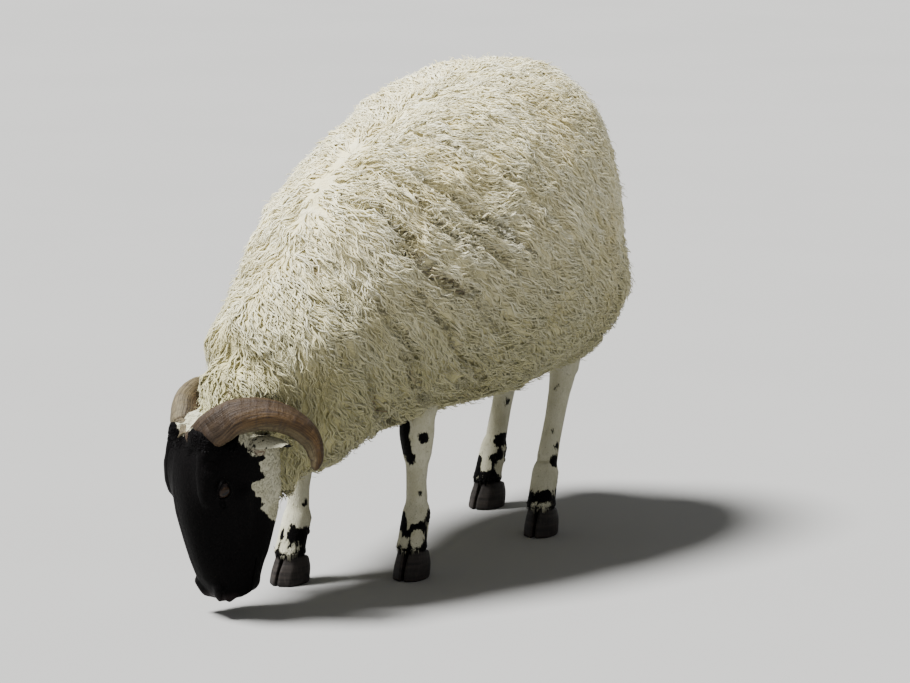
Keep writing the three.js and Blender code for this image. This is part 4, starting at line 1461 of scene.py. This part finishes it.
def dress():
    """Gives every piece its finish and the solids that it stands for."""
    fleece = fleece_finish()
    for piece in fleece_pieces:
        finished(piece, fleece, "fleece")
    points, faces = arrays_of(skin)
    points = points.astype(float)
    attribute(skin, "black", blackness(points))
    below = -outline.at(points)
    attribute(skin, "woolly", smooth_step(below, 0.008, 0.014))
    q = HEAD.inward(points)
    nose = smooth_step(-q[:, 1], 0.272, 0.284) * smooth_step(q[:, 2], -0.074, -0.060)
    attribute(skin, "bare", nose * (1 - smooth_step(q[:, 2], -0.045, -0.030)))
    in_ear = smooth_step(np.abs(q[:, 0]), 0.066, 0.080) * smooth_step(-q[:, 1], 0.040, 0.046)
    in_ear = in_ear * (q[:, 1] > -0.08) * (q[:, 2] < -0.05) * (q[:, 2] > -0.15)
    attribute(skin, "in_ear", in_ear)
    hair = tuft_finish()
    tree = tuft_tree()
    middle = points[faces].mean(1)
    head = HEAD.inward(middle)
    covered = -outline.at(middle) > 0.012
    on_head = within(head, (-0.16, -0.33, -0.19), (0.16, 0.0, 1.0)) & ~covered
    hair_piece = tufts("hair_head", "head", on_head, hair_of_head, tree, hair, 4, HEAD_TUFTS)
    finished(hair_piece, hair, "pale_hair")
    for number, leg in enumerate(LEGS):
        foot = FEET[leg].inward(middle)
        on_leg = within(foot, (-0.07, -0.06, -1.0), (0.07, 0.15, 0.36)) & ~covered
        growing = lambda where, leg=leg: hair_of_leg(where, leg)
        hair_piece = tufts(f"hair_{leg}", leg, on_leg, growing, tree, hair, 10 + number, LEG_TUFTS)
        finished(hair_piece, hair, "pale_hair")
    flesh = [*FLEECE_NODES, "head", "lower_jaw", *EAR_NODES, *LEGS, *(f"{leg}_pastern" for leg in LEGS)]
    finished(skin, skin_finish(), "face_hair", *flesh)
    points = arrays_of(under)[0].astype(float)
    attribute(under, "tone", np.clip(0.35 + 0.2 * relief_fine(points), 0, 1))
    attribute(under, "sunk", crease(points))
    unrolled_map(under)
    finished(under, underwool_finish(), "fleece")
    horns = horn_finish()
    eyes = eye_finish()
    for side, word in ((1, "left"), (-1, "right")):
        finished(horn(side, word), horns, "horn", f"horn_{word}")
        finished(eyeball(side, word), eyes, "eye", f"eye_{word}")
    claws = claw_finish()
    for leg in LEGS:
        for part in ("outer_claw", "inner_claw", "outer_dewclaw", "inner_dewclaw"):
            node = f"{leg}_{part}"
            finished(smooth_copy(node), claws, "hoof", node)


# ---------------------------------------------------------------- floor, light and camera
CAMERA_PLACE = (3.073, -4.956, 1.387)
CAMERA_AIM = (0.03, 0.109, 0.345)


def studio():
    """The floor, two lights, a pale world and the camera."""
    corners = np.array(((-60, -60, 0), (60, -60, 0), (60, 60, 0), (-60, 60, 0)))
    ground = piece_from("floor", corners, np.array(((0, 1, 2, 3),)), smooth=False)
    finish = Finish("pale_floor", Roughness=0.9, Specular_IOR_Level=0.1)
    tint = finish.noise(finish.place(), 1.2, 2.0)
    finish.set("Base Color", finish.mix(tint, (0.27, 0.268, 0.26), (0.295, 0.292, 0.284)))
    ground.data.materials.append(finish.material)
    aim = Vector((0, 0, 0.4))
    for name, kind, energy, size, place in (
        ("high_sun", "SUN", 14.5, 0.30, (-0.9, -0.9, 3.0)),
        ("front_fill", "AREA", 8, 3.0, (3.2, -3.6, 2.2)),
    ):
        light = bpy.data.lights.new(name, kind)
        light.energy = energy
        if kind == "SUN":
            light.angle = size
        else:
            light.size = size
        lamp = bpy.data.objects.new(name, light)
        lamp.location = place
        lamp.rotation_euler = (aim - lamp.location).to_track_quat("-Z", "Y").to_euler()
        bpy.context.scene.collection.objects.link(lamp)
    world = bpy.data.worlds.new("soft_room")
    world.use_nodes = True
    background = world.node_tree.nodes["Background"]
    background.inputs["Color"].default_value = (0.97, 0.985, 1.0, 1)
    background.inputs["Strength"].default_value = 0.30
    bpy.context.scene.world = world
    camera = bpy.data.objects.new("camera", bpy.data.cameras.new("camera"))
    camera.data.lens = 147
    camera.data.sensor_width = 36
    camera.location = CAMERA_PLACE
    look = Vector(CAMERA_AIM) - camera.location
    camera.rotation_euler = look.to_track_quat("-Z", "Y").to_euler()
    bpy.context.scene.collection.objects.link(camera)
    bpy.context.scene.camera = camera


def clear_start():
    """Takes away what Blender starts with."""
    for name in ("Cube", "Light", "Camera"):
        if name in bpy.data.objects:
            bpy.data.objects.remove(bpy.data.objects[name])


clear_start()
dress()
studio()
